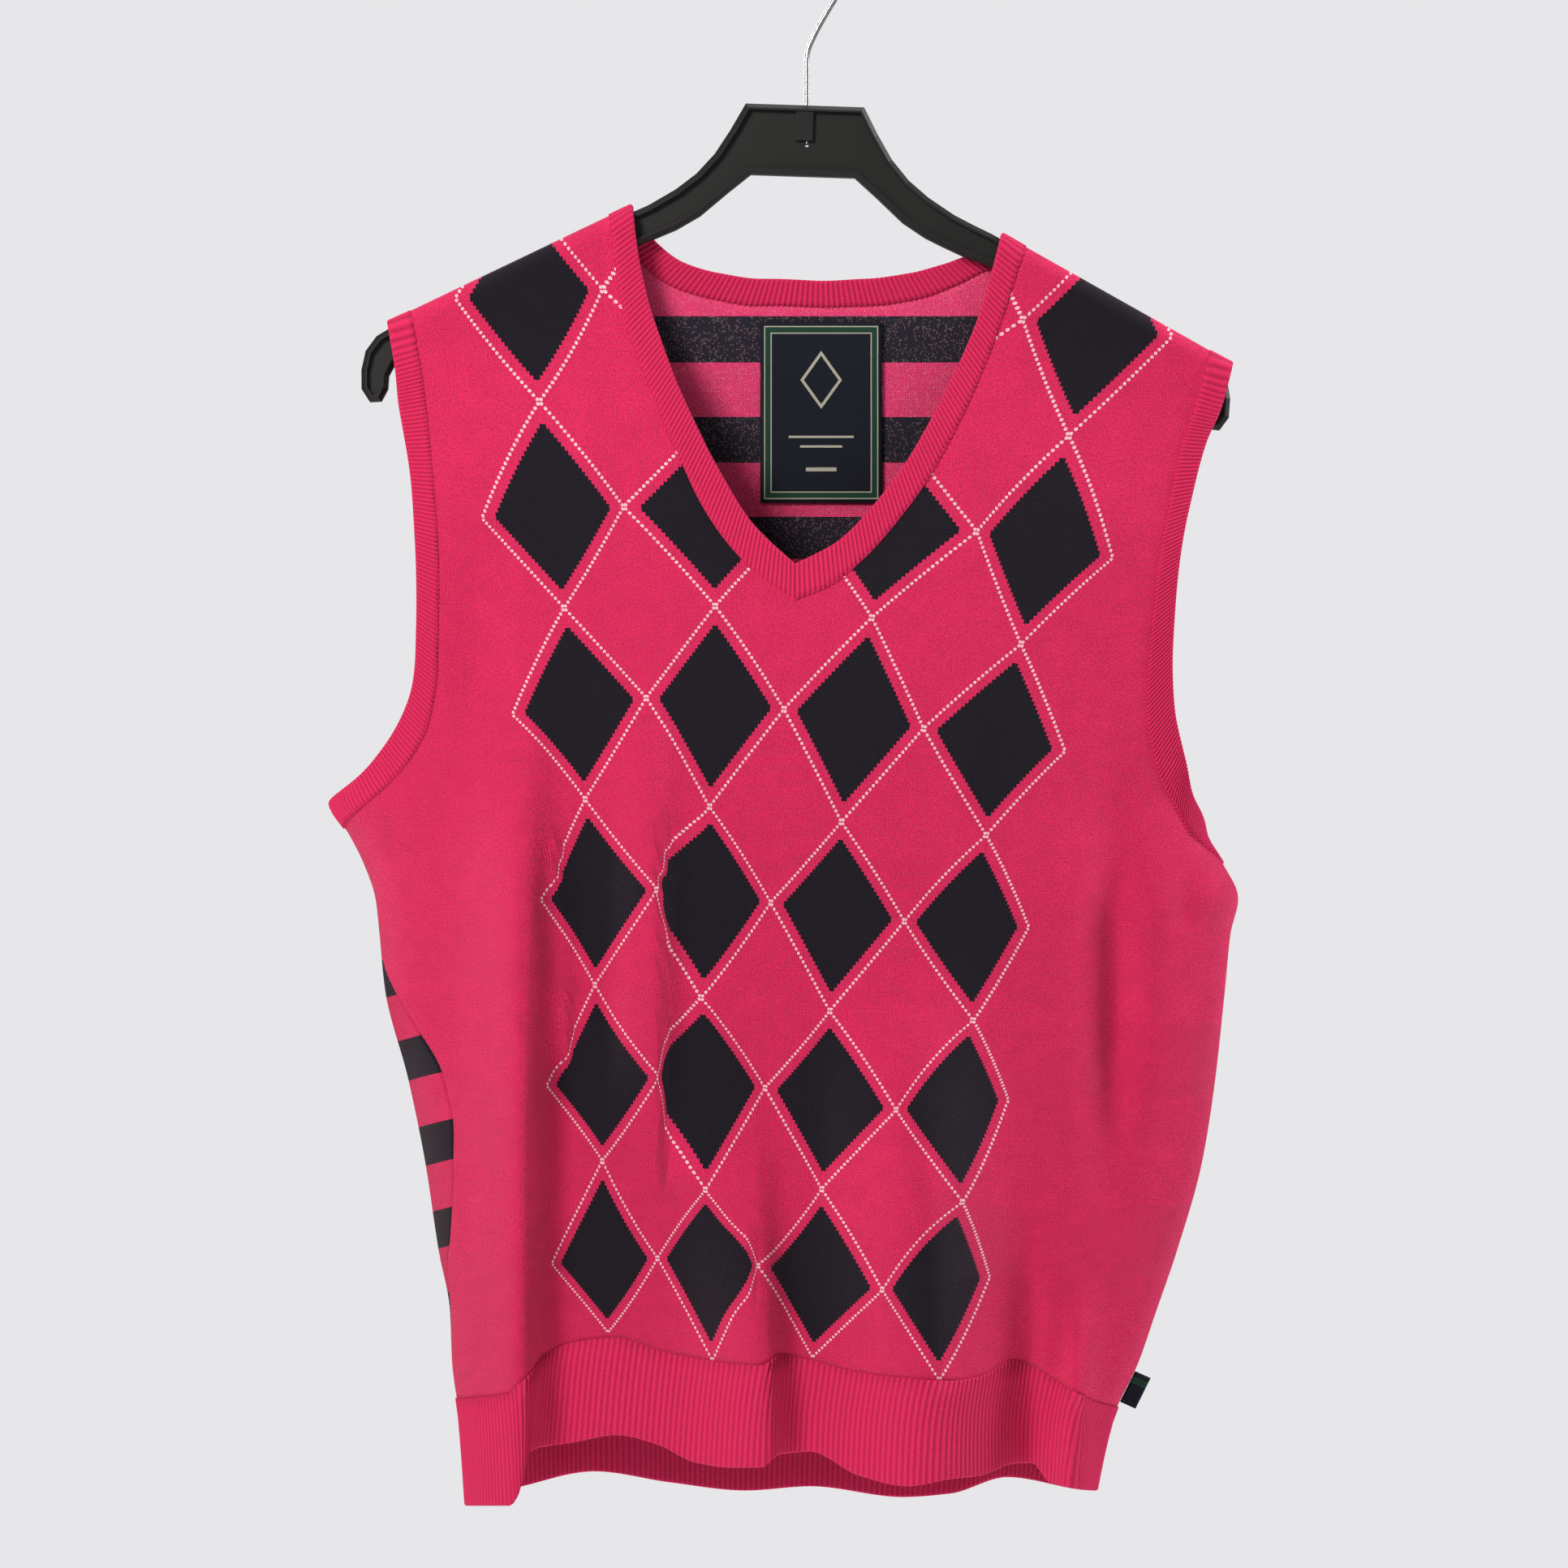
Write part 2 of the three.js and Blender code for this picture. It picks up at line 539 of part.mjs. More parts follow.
// A ribbed strip between its seam curve and its free edge. The outer points rise and fall from station to
// station, and the plain inside has a point at every second one. A closed strip is a ring.
const INSIDE_STEP = 2;
function ribbedGeometry(seam, edge, pitch, closed, seamFirst) {
  const list = ribStations(seam, pitch);
  const stations = list.length - 1;
  const count = closed ? stations : stations + 1;
  const positions = [];
  const outer = [];
  const inner = [];
  const add = (point) => positions.push(...point) / 3 - 1;
  for (let i = 0; i < count; i++) {
    const pair = [seam.place(list[i]), edge.place(list[i])];
    if (!seamFirst) pair.reverse();
    const rise = RIB_WALL / 2 + (i % 2 ? RIB_RISE : 0);
    outer.push(pair.map(({ point, normal }) => add(point.clone().addScaledVector(normal, rise))));
    if (i % INSIDE_STEP === 0) {
      inner.push(pair.map(({ point, normal }) => add(point.clone().addScaledVector(normal, -RIB_WALL / 2))));
    }
  }
  const faces = [];
  const quad = (a, b, c, d) => faces.push(a, b, c, a, c, d);
  for (let i = 0; i < stations; i++) {
    const [a, b] = outer[i];
    const [d, c] = outer[(i + 1) % count];
    quad(a, b, c, d);
  }
  for (let j = 0; j * INSIDE_STEP < stations; j++) {
    const here = inner[j];
    const next = inner[(j + 1) % inner.length];
    quad(here[0], next[0], next[1], here[1]);
    const ribs = [];
    for (let k = 0; k <= INSIDE_STEP; k++) ribs.push(outer[(j * INSIDE_STEP + k) % count]);
    const half = INSIDE_STEP / 2;
    for (let k = 0; k < INSIDE_STEP; k++) {
      const seamBase = k < half ? here[0] : next[0];
      const edgeBase = k < half ? here[1] : next[1];
      faces.push(seamBase, ribs[k][0], ribs[k + 1][0]);
      faces.push(edgeBase, ribs[k + 1][1], ribs[k][1]);
    }
    faces.push(here[0], ribs[half][0], next[0]);
    faces.push(here[1], next[1], ribs[half][1]);
  }
  if (!closed) {
    const [a, b] = outer[0];
    const [c, d] = inner[0];
    quad(a, c, d, b);
    const [e, f] = outer[stations];
    const [g, h] = inner[inner.length - 1];
    quad(e, f, h, g);
  }
  const geometry = new THREE.BufferGeometry();
  geometry.setAttribute("position", new THREE.Float32BufferAttribute(positions, 3));
  geometry.setIndex(faces);
  return geometry;
}

// Chart points moved sideways in the cloth, to the side of a smaller turn where they are followed downwards
function shiftedPoints(points, distance) {
  const last = points.length - 1;
  return points.map(([turn, way], i) => {
    const before = points[Math.max(i - 1, 0)];
    const after = points[Math.min(i + 1, last)];
    const { across, down } = clothSlopes(turn, way);
    const acrossLength = Math.max(across.length(), 1);
    const downLength = down.length();
    const alongAcross = (after[0] - before[0]) * acrossLength;
    const alongDown = (after[1] - before[1]) * downLength;
    const length = Math.hypot(alongAcross, alongDown);
    return [
      turn - (distance * alongDown) / length / acrossLength,
      way + (distance * alongAcross) / length / downLength,
    ];
  });
}

// Places moved sideways in the cloth, to the right of a line as it is followed seen from outside
function shiftedPlaces(places, distance, closed) {
  const last = places.length - 1;
  return places.map(({ point, normal }, i) => {
    const before = i > 0 ? places[i - 1] : places[closed ? last - 1 : 0];
    const after = i < last ? places[i + 1] : places[closed ? 1 : last];
    const along = after.point.clone().sub(before.point).normalize();
    const sideways = along.cross(normal).normalize();
    return { point: point.clone().addScaledVector(sideways, distance), normal };
  });
}

// Straight stretches between places, so that a band keeps to a panel's faceted edge
function polyline(places) {
  const keys = [0];
  for (let i = 1; i < places.length; i++) {
    keys.push(keys[i - 1] + Math.max(places[i].point.distanceTo(places[i - 1].point), 0.01));
  }
  const length = keys[keys.length - 1];
  const place = (t) => {
    const key = t * length;
    let i = 0;
    while (i + 2 < keys.length && keys[i + 1] < key) i++;
    const share = (key - keys[i]) / (keys[i + 1] - keys[i]);
    return {
      point: places[i].point.clone().lerp(places[i + 1].point, share),
      normal: places[i].normal.clone().lerp(places[i + 1].normal, share).normalize(),
    };
  };
  return { length, keys, place };
}

// Where the ribs' tops and grooves lie along a seam, with one groove at each of its corners
function ribStations(seam, pitch) {
  const list = [0];
  for (let i = 0; i + 1 < seam.keys.length; i++) {
    const from = seam.keys[i];
    const to = seam.keys[i + 1];
    const steps = 2 * Math.max(1, Math.round((to - from) / pitch));
    for (let k = 1; k <= steps; k++) list.push(mix(from, to, k / steps) / seam.length);
  }
  return list;
}

// The place along a curve where the cloth's way first reaches a value
function placeAtWay(curve, way) {
  let low = 0;
  let high = NEAR_CREST;
  for (let i = 0; i < HALVINGS; i++) {
    const middle = (low + high) / 2;
    if (curve.at(middle)[1] < way) low = middle;
    else high = middle;
  }
  return (low + high) / 2;
}

const frontSide = { turnOf: (turn) => turn, seamWay: -SHOULDER_SEAM_WAY };
const backSide = { turnOf: (turn) => Math.PI - turn, seamWay: SHOULDER_SEAM_WAY };

// Chart turn of a place on the crest, where its height follows from its x
function crestTurn(x) {
  return frontChart(x, crestHeight(x))[0];
}

// Chart points down an armhole on one side of the body, from the shoulder seam to the underarm
function armholePoints(rows, crestX, underarm, name, side, fromWay) {
  const isBack = side === backSide;
  const points = [[side.turnOf(crestTurn(crestX[name + "X"])), fromWay]];
  rows.forEach((row, i) => {
    const inset = isBack ? BACK_ARMHOLE_INSET * Math.sin((Math.PI * (i + 1)) / (rows.length + 1)) : 0;
    const x = row[name + "X"];
    const [turn, way] = frontChart(x - Math.sign(x) * inset, row[name + "Z"]);
    points.push([side.turnOf(turn), way]);
  });
  points.push(underarm);
  return points;
}

function sideChart(turn, z) {
  const x = bodyCentre(z) + bodyHalf(z) * Math.sin(turn);
  return [turn, wayAt(crestHeight(x) - z)];
}

const leftSeamAt = (z) => -HALF_PI + radians(leftSeamTurn(z));
const rightSeamAt = (z) => HALF_PI + radians(rightSeamTurn(z));

const ARMHOLES = {
  left: { rows: ARMHOLE_LEFT, crest: ARMHOLE_CREST.left, turnAt: leftSeamAt, under: UNDERARM.left },
  right: { rows: ARMHOLE_RIGHT, crest: ARMHOLE_CREST.right, turnAt: rightSeamAt, under: UNDERARM.right },
};

const underarmChart = ({ turnAt, under }, name) => sideChart(turnAt(under[name + "Z"]), under[name + "Z"]);

// Ribbed hem: height by place across
const hemHeight = {
  front: { seam: column(HEM_FRONT, "x", "seamZ"), edge: column(HEM_FRONT, "x", "edgeZ") },
  back: { seam: column(HEM_BACK, "x", "seamZ"), edge: column(HEM_BACK, "x", "edgeZ") },
};

function hemChart(turn, name) {
  let x = 0;
  for (let i = 0; i < CHART_ROUNDS; i++) {
    const z = hemHeight[Math.cos(turn) >= 0 ? "front" : "back"][name](x);
    x = bodyCentre(z) + bodyHalf(z) * Math.sin(turn);
  }
  const z = hemHeight[Math.cos(turn) >= 0 ? "front" : "back"][name](x);
  return [turn, wayAt(crestHeight(x) - z)];
}

const leftHemTurn = -HALF_PI;
const rightHemTurn = HALF_PI;

// Side seams, from the underarm to the top of the hem rib
const SIDE_STEPS = 14;
function sideSeam({ turnAt, under }, hemTurn) {
  const top = under.seamZ;
  const corner = HEM_FRONT[hemTurn < 0 ? 0 : HEM_FRONT.length - 1];
  const low = corner.seamZ;
  const points = [];
  for (let i = 0; i < SIDE_STEPS; i++) {
    const z = mix(top, low, i / SIDE_STEPS);
    points.push(sideChart(turnAt(z), z));
  }
  points.push(hemChart(hemTurn, "seam"));
  return points;
}

const turnedBy = (points, turn) => points.map((p) => [p[0] + turn, p[1]]);

// The middle wale of the front, from the point of the V to the hem rib
const NECK_POINT = { x: -6.2, seamZ: -355.3 };
const MIDDLE_LOW = -755; // height of the hem seam there
const MIDDLE_MARGIN = 3; // the curve's own points stop this far above it
const MIDDLE_STEPS = 12;
function middleCurve() {
  const points = [];
  for (let i = 0; i < MIDDLE_STEPS; i++) {
    const z = mix(NECK_POINT.seamZ - SEAM_GAP, MIDDLE_LOW + MIDDLE_MARGIN, i / MIDDLE_STEPS);
    points.push(frontChart(middleX(z), z));
  }
  const last = frontChart(middleX(MIDDLE_LOW), MIDDLE_LOW);
  points.push(hemChart(last[0], "seam"));
  return points;
}

// Rows of a panel: round the crest if it crosses it, down to the corner of its edges, and on to the hem
function panelRows(edge, crosses, counts) {
  const places = [0];
  if (crosses) {
    for (let k = 0; k <= CREST_STEPS; k++) {
      places.push(placeAtWay(edge, CREST_WAY * ((2 * k) / CREST_STEPS - 1)));
    }
  }
  const from = places[places.length - 1];
  for (let k = 1; k <= counts.corner; k++) places.push(mix(from, edge.corner, k / counts.corner));
  for (let k = 1; k <= counts.rest; k++) places.push(mix(edge.corner, 1, k / counts.rest));
  return places;
}

// Two curves end to end as one edge, with its corner where they meet
function joined(first, second) {
  const length = first.length + second.length;
  const corner = first.length / length;
  const at = (t) => (t < corner ? first.at(t / corner) : second.at((t - corner) / (1 - corner)));
  return { length, corner, at };
}

function listed(curve, places) {
  return places.map((t) => curve.at(t));
}

// Outer edge of a half panel: the armhole seam and then the side seam
function outerEdge(armhole, side, hemTurn, wrap) {
  const under = underarmChart(armhole, "seam");
  const corner = [under[0] + wrap, under[1]];
  const top = armholePoints(armhole.rows, armhole.crest, corner, "seam", side, side.seamWay);
  return joined(chartCurve(top), chartCurve(turnedBy(sideSeam(armhole, hemTurn), wrap)));
}

function neckCurve(rows, crest, name) {
  const points = [[crestTurn(crest[name + "X"]), -SHOULDER_SEAM_WAY]];
  points.push([crestTurn(crest[name + "X"]), 0]);
  for (const row of rows) points.push(frontChart(row[name + "X"], row[name + "Z"]));
  return chartCurve(points);
}

const lerpEdge = (points) => ({
  at: (s) => {
    const place = s * (points.length - 1);
    const i = Math.min(Math.floor(place), points.length - 2);
    return [0, 1].map((k) => mix(points[i][k], points[i + 1][k], place - i));
  },
});

// A grid of chart points between four lists of edge points that meet at its corners
function gridBetween(top, bottom, left, right, shares, spread) {
  const columns = top.length - 1;
  const rows = left.length - 1;
  const edges = {
    top: lerpEdge(top),
    bottom: lerpEdge(bottom),
    left: lerpEdge(left),
    right: lerpEdge(right),
  };
  const rowList = left.map((p, i) => ({ leftAt: i / rows, rightAt: i / rows, share: shares[i] }));
  return patch(edges, columns, rowList, spread);
}

const span = (from, to, count, at) => {
  const list = [];
  for (let i = 0; i <= count; i++) list.push(at(mix(from, to, i / count)));
  return list;
};

// The front: two half grids
const neckSeam = {
  left: neckCurve(NECK_LEFT, NECK_CREST.left, "seam"),
  right: neckCurve(NECK_RIGHT, NECK_CREST.right, "seam"),
};
const middle = chartCurve(middleCurve());
const hemTurnMiddle = middle.at(1)[0];

function frontHalf(name) {
  const isLeft = name === "left";
  const armhole = ARMHOLES[name];
  const hemTurn = isLeft ? leftHemTurn : rightHemTurn;
  const outer = outerEdge(armhole, frontSide, hemTurn, 0);
  const outerPlaces = panelRows(outer, true, FRONT_SIDE_ROWS);
  const outerPoints = listed(outer, outerPlaces);
  const inner = joined(neckSeam[name], middle);
  const innerPlaces = panelRows(inner, true, FRONT_INNER_ROWS);
  const innerPoints = listed(inner, innerPlaces);
  const underarm = 1 + CREST_STEPS + FRONT_SIDE_ROWS.corner;
  const corner = 1 + CREST_STEPS + FRONT_INNER_ROWS.corner;
  const sign = isLeft ? -1 : 1;
  const outerEdgePoints = shiftedPoints(outerPoints, sign * HALF_GAP);
  const neckPoints = shiftedPoints(innerPoints.slice(0, corner + 1), -sign * HALF_GAP);
  const innerEdgePoints = innerPoints.map((p, i) => (i < corner ? neckPoints[i] : p));
  const hem = span(0, 1, FRONT_COLUMNS, (s) => hemChart(mix(hemTurn, hemTurnMiddle, squeezed(s)), "seam"));
  const raised = hem.map(([turn, way]) => [turn, way - HALF_GAP]);
  raised[0][0] = outerEdgePoints[outerEdgePoints.length - 1][0];
  outerEdgePoints[outerEdgePoints.length - 1] = raised[0];
  innerEdgePoints[innerEdgePoints.length - 1] = raised[FRONT_COLUMNS];
  outerEdgePoints[0][1] = -SHOULDER_SEAM_WAY + HALF_GAP;
  innerEdgePoints[0][1] = -SHOULDER_SEAM_WAY + HALF_GAP;
  const top = span(0, 1, FRONT_COLUMNS, (s) =>
    [0, 1].map((k) => mix(outerEdgePoints[0][k], innerEdgePoints[0][k], squeezed(s))),
  );
  const shares = outerPlaces.map((place, i) => (place + innerPlaces[i]) / 2);
  const grid = gridBetween(top, raised, outerEdgePoints, innerEdgePoints, shares, squeezed);
  return {
    grid,
    hem,
    corner,
    armholeLine: outerPoints.slice(0, underarm + 1),
    neckLine: innerPoints.slice(0, corner + 1),
  };
}

const leftHalf = frontHalf("left");
const rightHalf = frontHalf("right");

function frontPanel() {
  const rightGrid = rightHalf.grid.map((line) => [...line].reverse());
  return panelGeometry(leftHalf.grid, rightGrid, leftHalf.corner);
}

// The back: one grid from the right side seam round to the left one, with the neck scooped out of its top
const BACK_SHOULDER_COLUMNS = 5;
const BACK_NECK_COLUMNS = 12;
function backPanelGrid() {
  const right = outerEdge(ARMHOLES.right, backSide, rightHemTurn, 0);
  const left = outerEdge(ARMHOLES.left, backSide, leftHemTurn, 2 * Math.PI);
  const rightPlaces = panelRows(right, false, BACK_ROWS);
  const leftPlaces = panelRows(left, false, BACK_ROWS);
  const rightPoints = listed(right, rightPlaces);
  const leftPoints = listed(left, leftPlaces);
  const rightEdge = shiftedPoints(rightPoints, -HALF_GAP);
  const leftEdge = shiftedPoints(leftPoints, HALF_GAP);
  const neck = [[backSide.turnOf(crestTurn(BACK_NECK_ENDS.right.seamX)), SHOULDER_SEAM_WAY]];
  for (const row of [...NECK_BACK].reverse()) neck.push(backChart(row.seamX, row.seamZ));
  neck.push([backSide.turnOf(crestTurn(BACK_NECK_ENDS.left.seamX)), SHOULDER_SEAM_WAY]);
  const neckLine = span(0, 1, BACK_NECK_COLUMNS, (s) => chartCurve(neck).at(s));
  const neckEdge = shiftedPoints(neckLine, HALF_GAP);
  const seamWay = SHOULDER_SEAM_WAY + HALF_GAP;
  for (const p of [rightEdge[0], leftEdge[0]]) p[1] = seamWay;
  const between = (a, b) => (s) => [0, 1].map((k) => mix(a[k], b[k], s));
  const lastNeck = neckEdge[BACK_NECK_COLUMNS];
  neckEdge[0][1] = Math.max(neckEdge[0][1], seamWay);
  lastNeck[1] = Math.max(lastNeck[1], seamWay);
  const top = [
    ...span(0, 1, BACK_SHOULDER_COLUMNS, between(rightEdge[0], neckEdge[0])),
    ...neckEdge.slice(1),
    ...span(0, 1, BACK_SHOULDER_COLUMNS, between(lastNeck, leftEdge[0])).slice(1),
  ];
  const columns = top.length - 1;
  const leftTurn = leftHemTurn + 2 * Math.PI;
  const hem = span(rightHemTurn, leftTurn, columns, (turn) => hemChart(turn, "seam"));
  const raised = hem.map(([turn, way]) => [turn, way - HALF_GAP]);
  raised[0][0] = rightEdge[rightEdge.length - 1][0];
  raised[columns][0] = leftEdge[leftEdge.length - 1][0];
  rightEdge[rightEdge.length - 1] = raised[0];
  leftEdge[leftEdge.length - 1] = raised[columns];
  const shares = rightPlaces.map((place, i) => (place + leftPlaces[i]) / 2);
  const grid = gridBetween(top, raised, rightEdge, leftEdge, shares, even);
  const corner = BACK_ROWS.corner;
  return {
    grid,
    hem,
    neckLine,
    rightArmhole: rightPoints.slice(0, corner + 1),
    leftArmhole: turnedBy(leftPoints.slice(0, corner + 1), -2 * Math.PI),
  };
}

const back = backPanelGrid();

function backPanel() {
  const points = [];
  const normals = [];
  const quads = [];
  const columns = back.grid[0].length;
  for (const chart of back.grid.flat()) {
    points.push(clothPoint(...chart));
    normals.push(clothNormal(...chart));
  }
  for (let row = 0; row + 1 < back.grid.length; row++) {
    for (let i = 0; i + 1 < columns; i++) {
      const a = row * columns + i;
      quads.push([a, a + columns, a + columns + 1, a + 1]);
    }
  }
  return wallGeometry(points, normals, quads, WALL);
}

// Ribbed bands. Each seam follows its panel's faceted edge, and each free edge is a fine curve.
const HEM_EDGE_STEPS = 160;
const NECK_EDGE_STEPS = 60;
const MITRE_SPREAD = 1.4; // the gap at the point of the V is measured across its slanting mitre
const seamLine = (chartPoints, distance, closed) =>
  polyline(shiftedPlaces(chartPoints.map(placeOf), distance, closed));

function hemBand(line, from, to) {
  const seam = line.map((p) => [...p]);
  const edge = span(from, to, HEM_EDGE_STEPS, (turn) => hemChart(turn, "edge"));
  for (const points of [seam, edge]) {
    const first = points[0];
    const last = points[points.length - 1];
    first[0] += HALF_GAP / clothSlopes(...first).across.length();
    last[0] -= HALF_GAP / clothSlopes(...last).across.length();
  }
  const seamPlaces = seamLine(seam, HEM_GAP - HALF_GAP, false);
  return ribbedGeometry(seamPlaces, chartCurve(edge), HEM_RIB_PITCH, false, true);
}

function hemRibFront() {
  return hemBand([...leftHalf.hem, ...[...rightHalf.hem].reverse().slice(1)], leftHemTurn, rightHemTurn);
}

function hemRibBack() {
  return hemBand(back.hem, rightHemTurn, leftHemTurn + 2 * Math.PI);
}

function frontNeckBand(name) {
  const isLeft = name === "left";
  const half = isLeft ? leftHalf : rightHalf;
  const rows = isLeft ? NECK_LEFT : NECK_RIGHT;
  const sign = isLeft ? 1 : -1;
  const edgeCurve = neckCurve(rows, NECK_CREST[name], "edge");
  const seamPoints = half.neckLine.map((p) => [...p]);
  const edgePoints = span(0, 1, NECK_EDGE_STEPS, edgeCurve.at);
  for (const points of [seamPoints, edgePoints]) points[0][1] = HALF_GAP - SHOULDER_SEAM_WAY;
  const mitreX = NECK_POINT.x - sign * HALF_GAP * MITRE_SPREAD;
  const seamPlaces = shiftedPlaces(seamPoints.map(placeOf), -sign * HALF_GAP, false);
  const edgePlaces = edgePoints.map(placeOf);
  seamPlaces[seamPlaces.length - 1] = placeOf(frontChart(mitreX, NECK_POINT.seamZ));
  edgePlaces[edgePlaces.length - 1] = placeOf(frontChart(mitreX, rows[rows.length - 1].edgeZ));
  return ribbedGeometry(polyline(seamPlaces), polyline(edgePlaces), NECK_RIB_PITCH, false, !isLeft);
}

function backNeckBand() {
  const edge = [[backSide.turnOf(crestTurn(BACK_NECK_ENDS.right.edgeX)), SHOULDER_SEAM_WAY]];
  for (const row of [...NECK_BACK].reverse()) edge.push(backChart(row.edgeX, row.edgeZ));
  edge.push([backSide.turnOf(crestTurn(BACK_NECK_ENDS.left.edgeX)), SHOULDER_SEAM_WAY]);
  const edgePoints = span(0, 1, NECK_EDGE_STEPS, chartCurve(edge).at);
  const seamPoints = back.neckLine.map((p) => [...p]);
  for (const points of [seamPoints, edgePoints]) {
    for (const p of [points[0], points[points.length - 1]]) p[1] = SHOULDER_SEAM_WAY + HALF_GAP;
  }
  const seam = seamLine(seamPoints, -HALF_GAP, false);
  return ribbedGeometry(seam, polyline(edgePoints.map(placeOf)), NECK_RIB_PITCH, false, false);
}

// An armhole's band is a ring: down the front, round the underarm, up the back and over the crest
function armholeBand(name) {
  const isLeft = name === "left";
  const armhole = ARMHOLES[name];
  const frontLine = (isLeft ? leftHalf : rightHalf).armholeLine;
  const backLine = isLeft ? back.leftArmhole : back.rightArmhole;
  const crest = frontLine.findIndex((p) => p[1] > 0);
  const loop = [
    ...frontLine.slice(crest),
    ...backLine.slice(0, -1).reverse(),
    ...frontLine.slice(1, crest),
    frontLine[crest],
  ];
  const seam = seamLine(loop, (isLeft ? 1 : -1) * (ARMHOLE_GAP - HALF_GAP), true);
  const under = underarmChart(armhole, "edge");
  const start = frontLine[crest][1];
  const down = chartCurve(armholePoints(armhole.rows, armhole.crest, under, "edge", frontSide, start));
  const backUnder = [under[0] + (isLeft ? 2 * Math.PI : 0), under[1]];
  const up = chartCurve(armholePoints(armhole.rows, armhole.crest, backUnder, "edge", backSide, start));
  const underarmIndex = frontLine.length - 1 - crest;
  const anchors = loop.map(([, way], i) => {
    const nearCrest = Math.abs(way) < SHOULDER_SEAM_WAY + 1;
    if (i === loop.length - 1) return 3;
    if (i === underarmIndex) return 1;
    if (!nearCrest) return null;
    return i < underarmIndex ? placeAtWay(down, way) : 2 - placeAtWay(up, Math.abs(way));
  });
  const known = anchors.map((value, i) => ({ key: seam.keys[i], value })).filter((a) => a.value !== null);
  const edge = {
    place: (t) => {
      const key = t * seam.length;
      let i = 0;
      while (i + 2 < known.length && known[i + 1].key < key) i++;
      const share = (key - known[i].key) / (known[i + 1].key - known[i].key);
      const value = mix(known[i].value, known[i + 1].value, share);
      if (value <= 1) return down.place(value);
      if (value <= 2) return up.place(2 - value);
      const [from, to] = [up.place(0), down.place(0)];
      return {
        point: from.point.lerp(to.point, value - 2),
        normal: from.normal.lerp(to.normal, value - 2).normalize(),
      };
    },
  };
  return ribbedGeometry(seam, edge, ARMHOLE_RIB_PITCH, true, isLeft);
}

// Woven label: a thin sheet that follows the inside of the back
function neckLabel() {
  const lift = WALL / 2 + LABEL_WALL / 2 + LABEL_GAP;
  const points = [];
  const normals = [];
  const quads = [];
  for (let row = 0; row <= LABEL_ROWS; row++) {
    for (let i = 0; i <= LABEL_COLUMNS; i++) {
      const x = mix(LABEL.right, LABEL.left, i / LABEL_COLUMNS);
      const z = mix(LABEL.top, LABEL.bottom, row / LABEL_ROWS);
      const chart = backChart(x, z);
      const normal = clothNormal(...chart);
      points.push(clothPoint(...chart).addScaledVector(normal, -lift));
      normals.push(normal);
    }
  }
  const wide = LABEL_COLUMNS + 1;
  for (let row = 0; row < LABEL_ROWS; row++) {
    for (let i = 0; i < LABEL_COLUMNS; i++) {
      const a = row * wide + i;
      quads.push([a, a + wide, a + wide + 1, a + 1]);
    }
  }
  return wallGeometry(points, normals, quads, LABEL_WALL);
}

// Folded tag that stands out of the right side seam, leaning back
function sideTag() {
  const ends = [TAG.topZ, TAG.lowZ].map((z) => {
    const chart = sideChart(rightSeamAt(z), z);
    return { point: clothPoint(...chart), normal: clothNormal(...chart) };
  });
  const points = [];
  const normals = [];
  const along = ends[0].point.clone().sub(ends[1].point).normalize();
  for (const { point, normal } of ends) {
    const out = normal.clone().applyAxisAngle(along, TAG.lean);
    const face = out.clone().cross(along).normalize();
    for (const reach of [WALL / 2 + TAG.gap, WALL / 2 + TAG.gap + TAG.length]) {
      points.push(point.clone().addScaledVector(out, reach));
      normals.push(face);
    }
  }
  return wallGeometry(points, normals, [[0, 2, 3, 1]], TAG.wall);
}

// Hanger: one half of its outline, from the middle of the head out to the tip and back along the lower edge
function armLine(x, below) {
  return [x, armTop(x) - below];
}

const ARM_DEPTH = 16.5; // measured straight down
const ARM_TOP_PLACES = [100, 125, 150, 175, 200]; // points along its straight edges
const ARM_LOW_PLACES = [185, 160, 135];
const HEAD_TOP = [
  [0, 0], [31, 0], [38.7, -14.3], [46.5, -27],
  [55.6, -37.5], [66, -46], [80, -54.8], [90, -59.6],
];
const TIP = [
  [212, -122.9], [220, -128], [225.5, -136], [227.4, -146],
  [227, -156], [222.5, -162.5], [216.5, -162],
];
const TIP_INSIDE = [[213.3, -155.5], [213, -148.5], [209.5, -141.5], [202.5, -135.6]];
const HEAD_LOWER = [
  [110, -86.5], [98, -80.4], [85, -75.8], [75, -71.6],
  [65, -67], [53, -59.5], [38.7, -46.7], [27.2, -36.9], [0, -36.9],
];

function hangerHalf() {
  const top = ARM_TOP_PLACES.map((x) => armLine(x, 0));
  const low = ARM_LOW_PLACES.map((x) => armLine(x, ARM_DEPTH));
  return [...HEAD_TOP, ...top, ...TIP, ...TIP_INSIDE, ...low, ...HEAD_LOWER];
}

function outlineShape(points) {
  return new THREE.Shape(points.map(([x, z]) => new THREE.Vector2(x, z)));
}

function mirrored(half) {
  const inner = half.slice(1, -1);
  return [...half, ...inner.map(([x, z]) => [-x, z]).reverse()];
}

// The outline moved inwards by the rim's width
function inset(points, distance) {
  const count = points.length;
  return points.map(([x, z], i) => {
    const before = points[(i + count - 1) % count];
    const after = points[(i + 1) % count];
    const a = new THREE.Vector2(x - before[0], z - before[1]).normalize();
    const b = new THREE.Vector2(after[0] - x, after[1] - z).normalize();
    const normal = new THREE.Vector2(a.y + b.y, -(a.x + b.x)).normalize();
    const spread = Math.max(normal.x * a.y - normal.y * a.x, 0.5);
    return [x + (normal.x * distance) / spread, z + (normal.y * distance) / spread];
  });
}

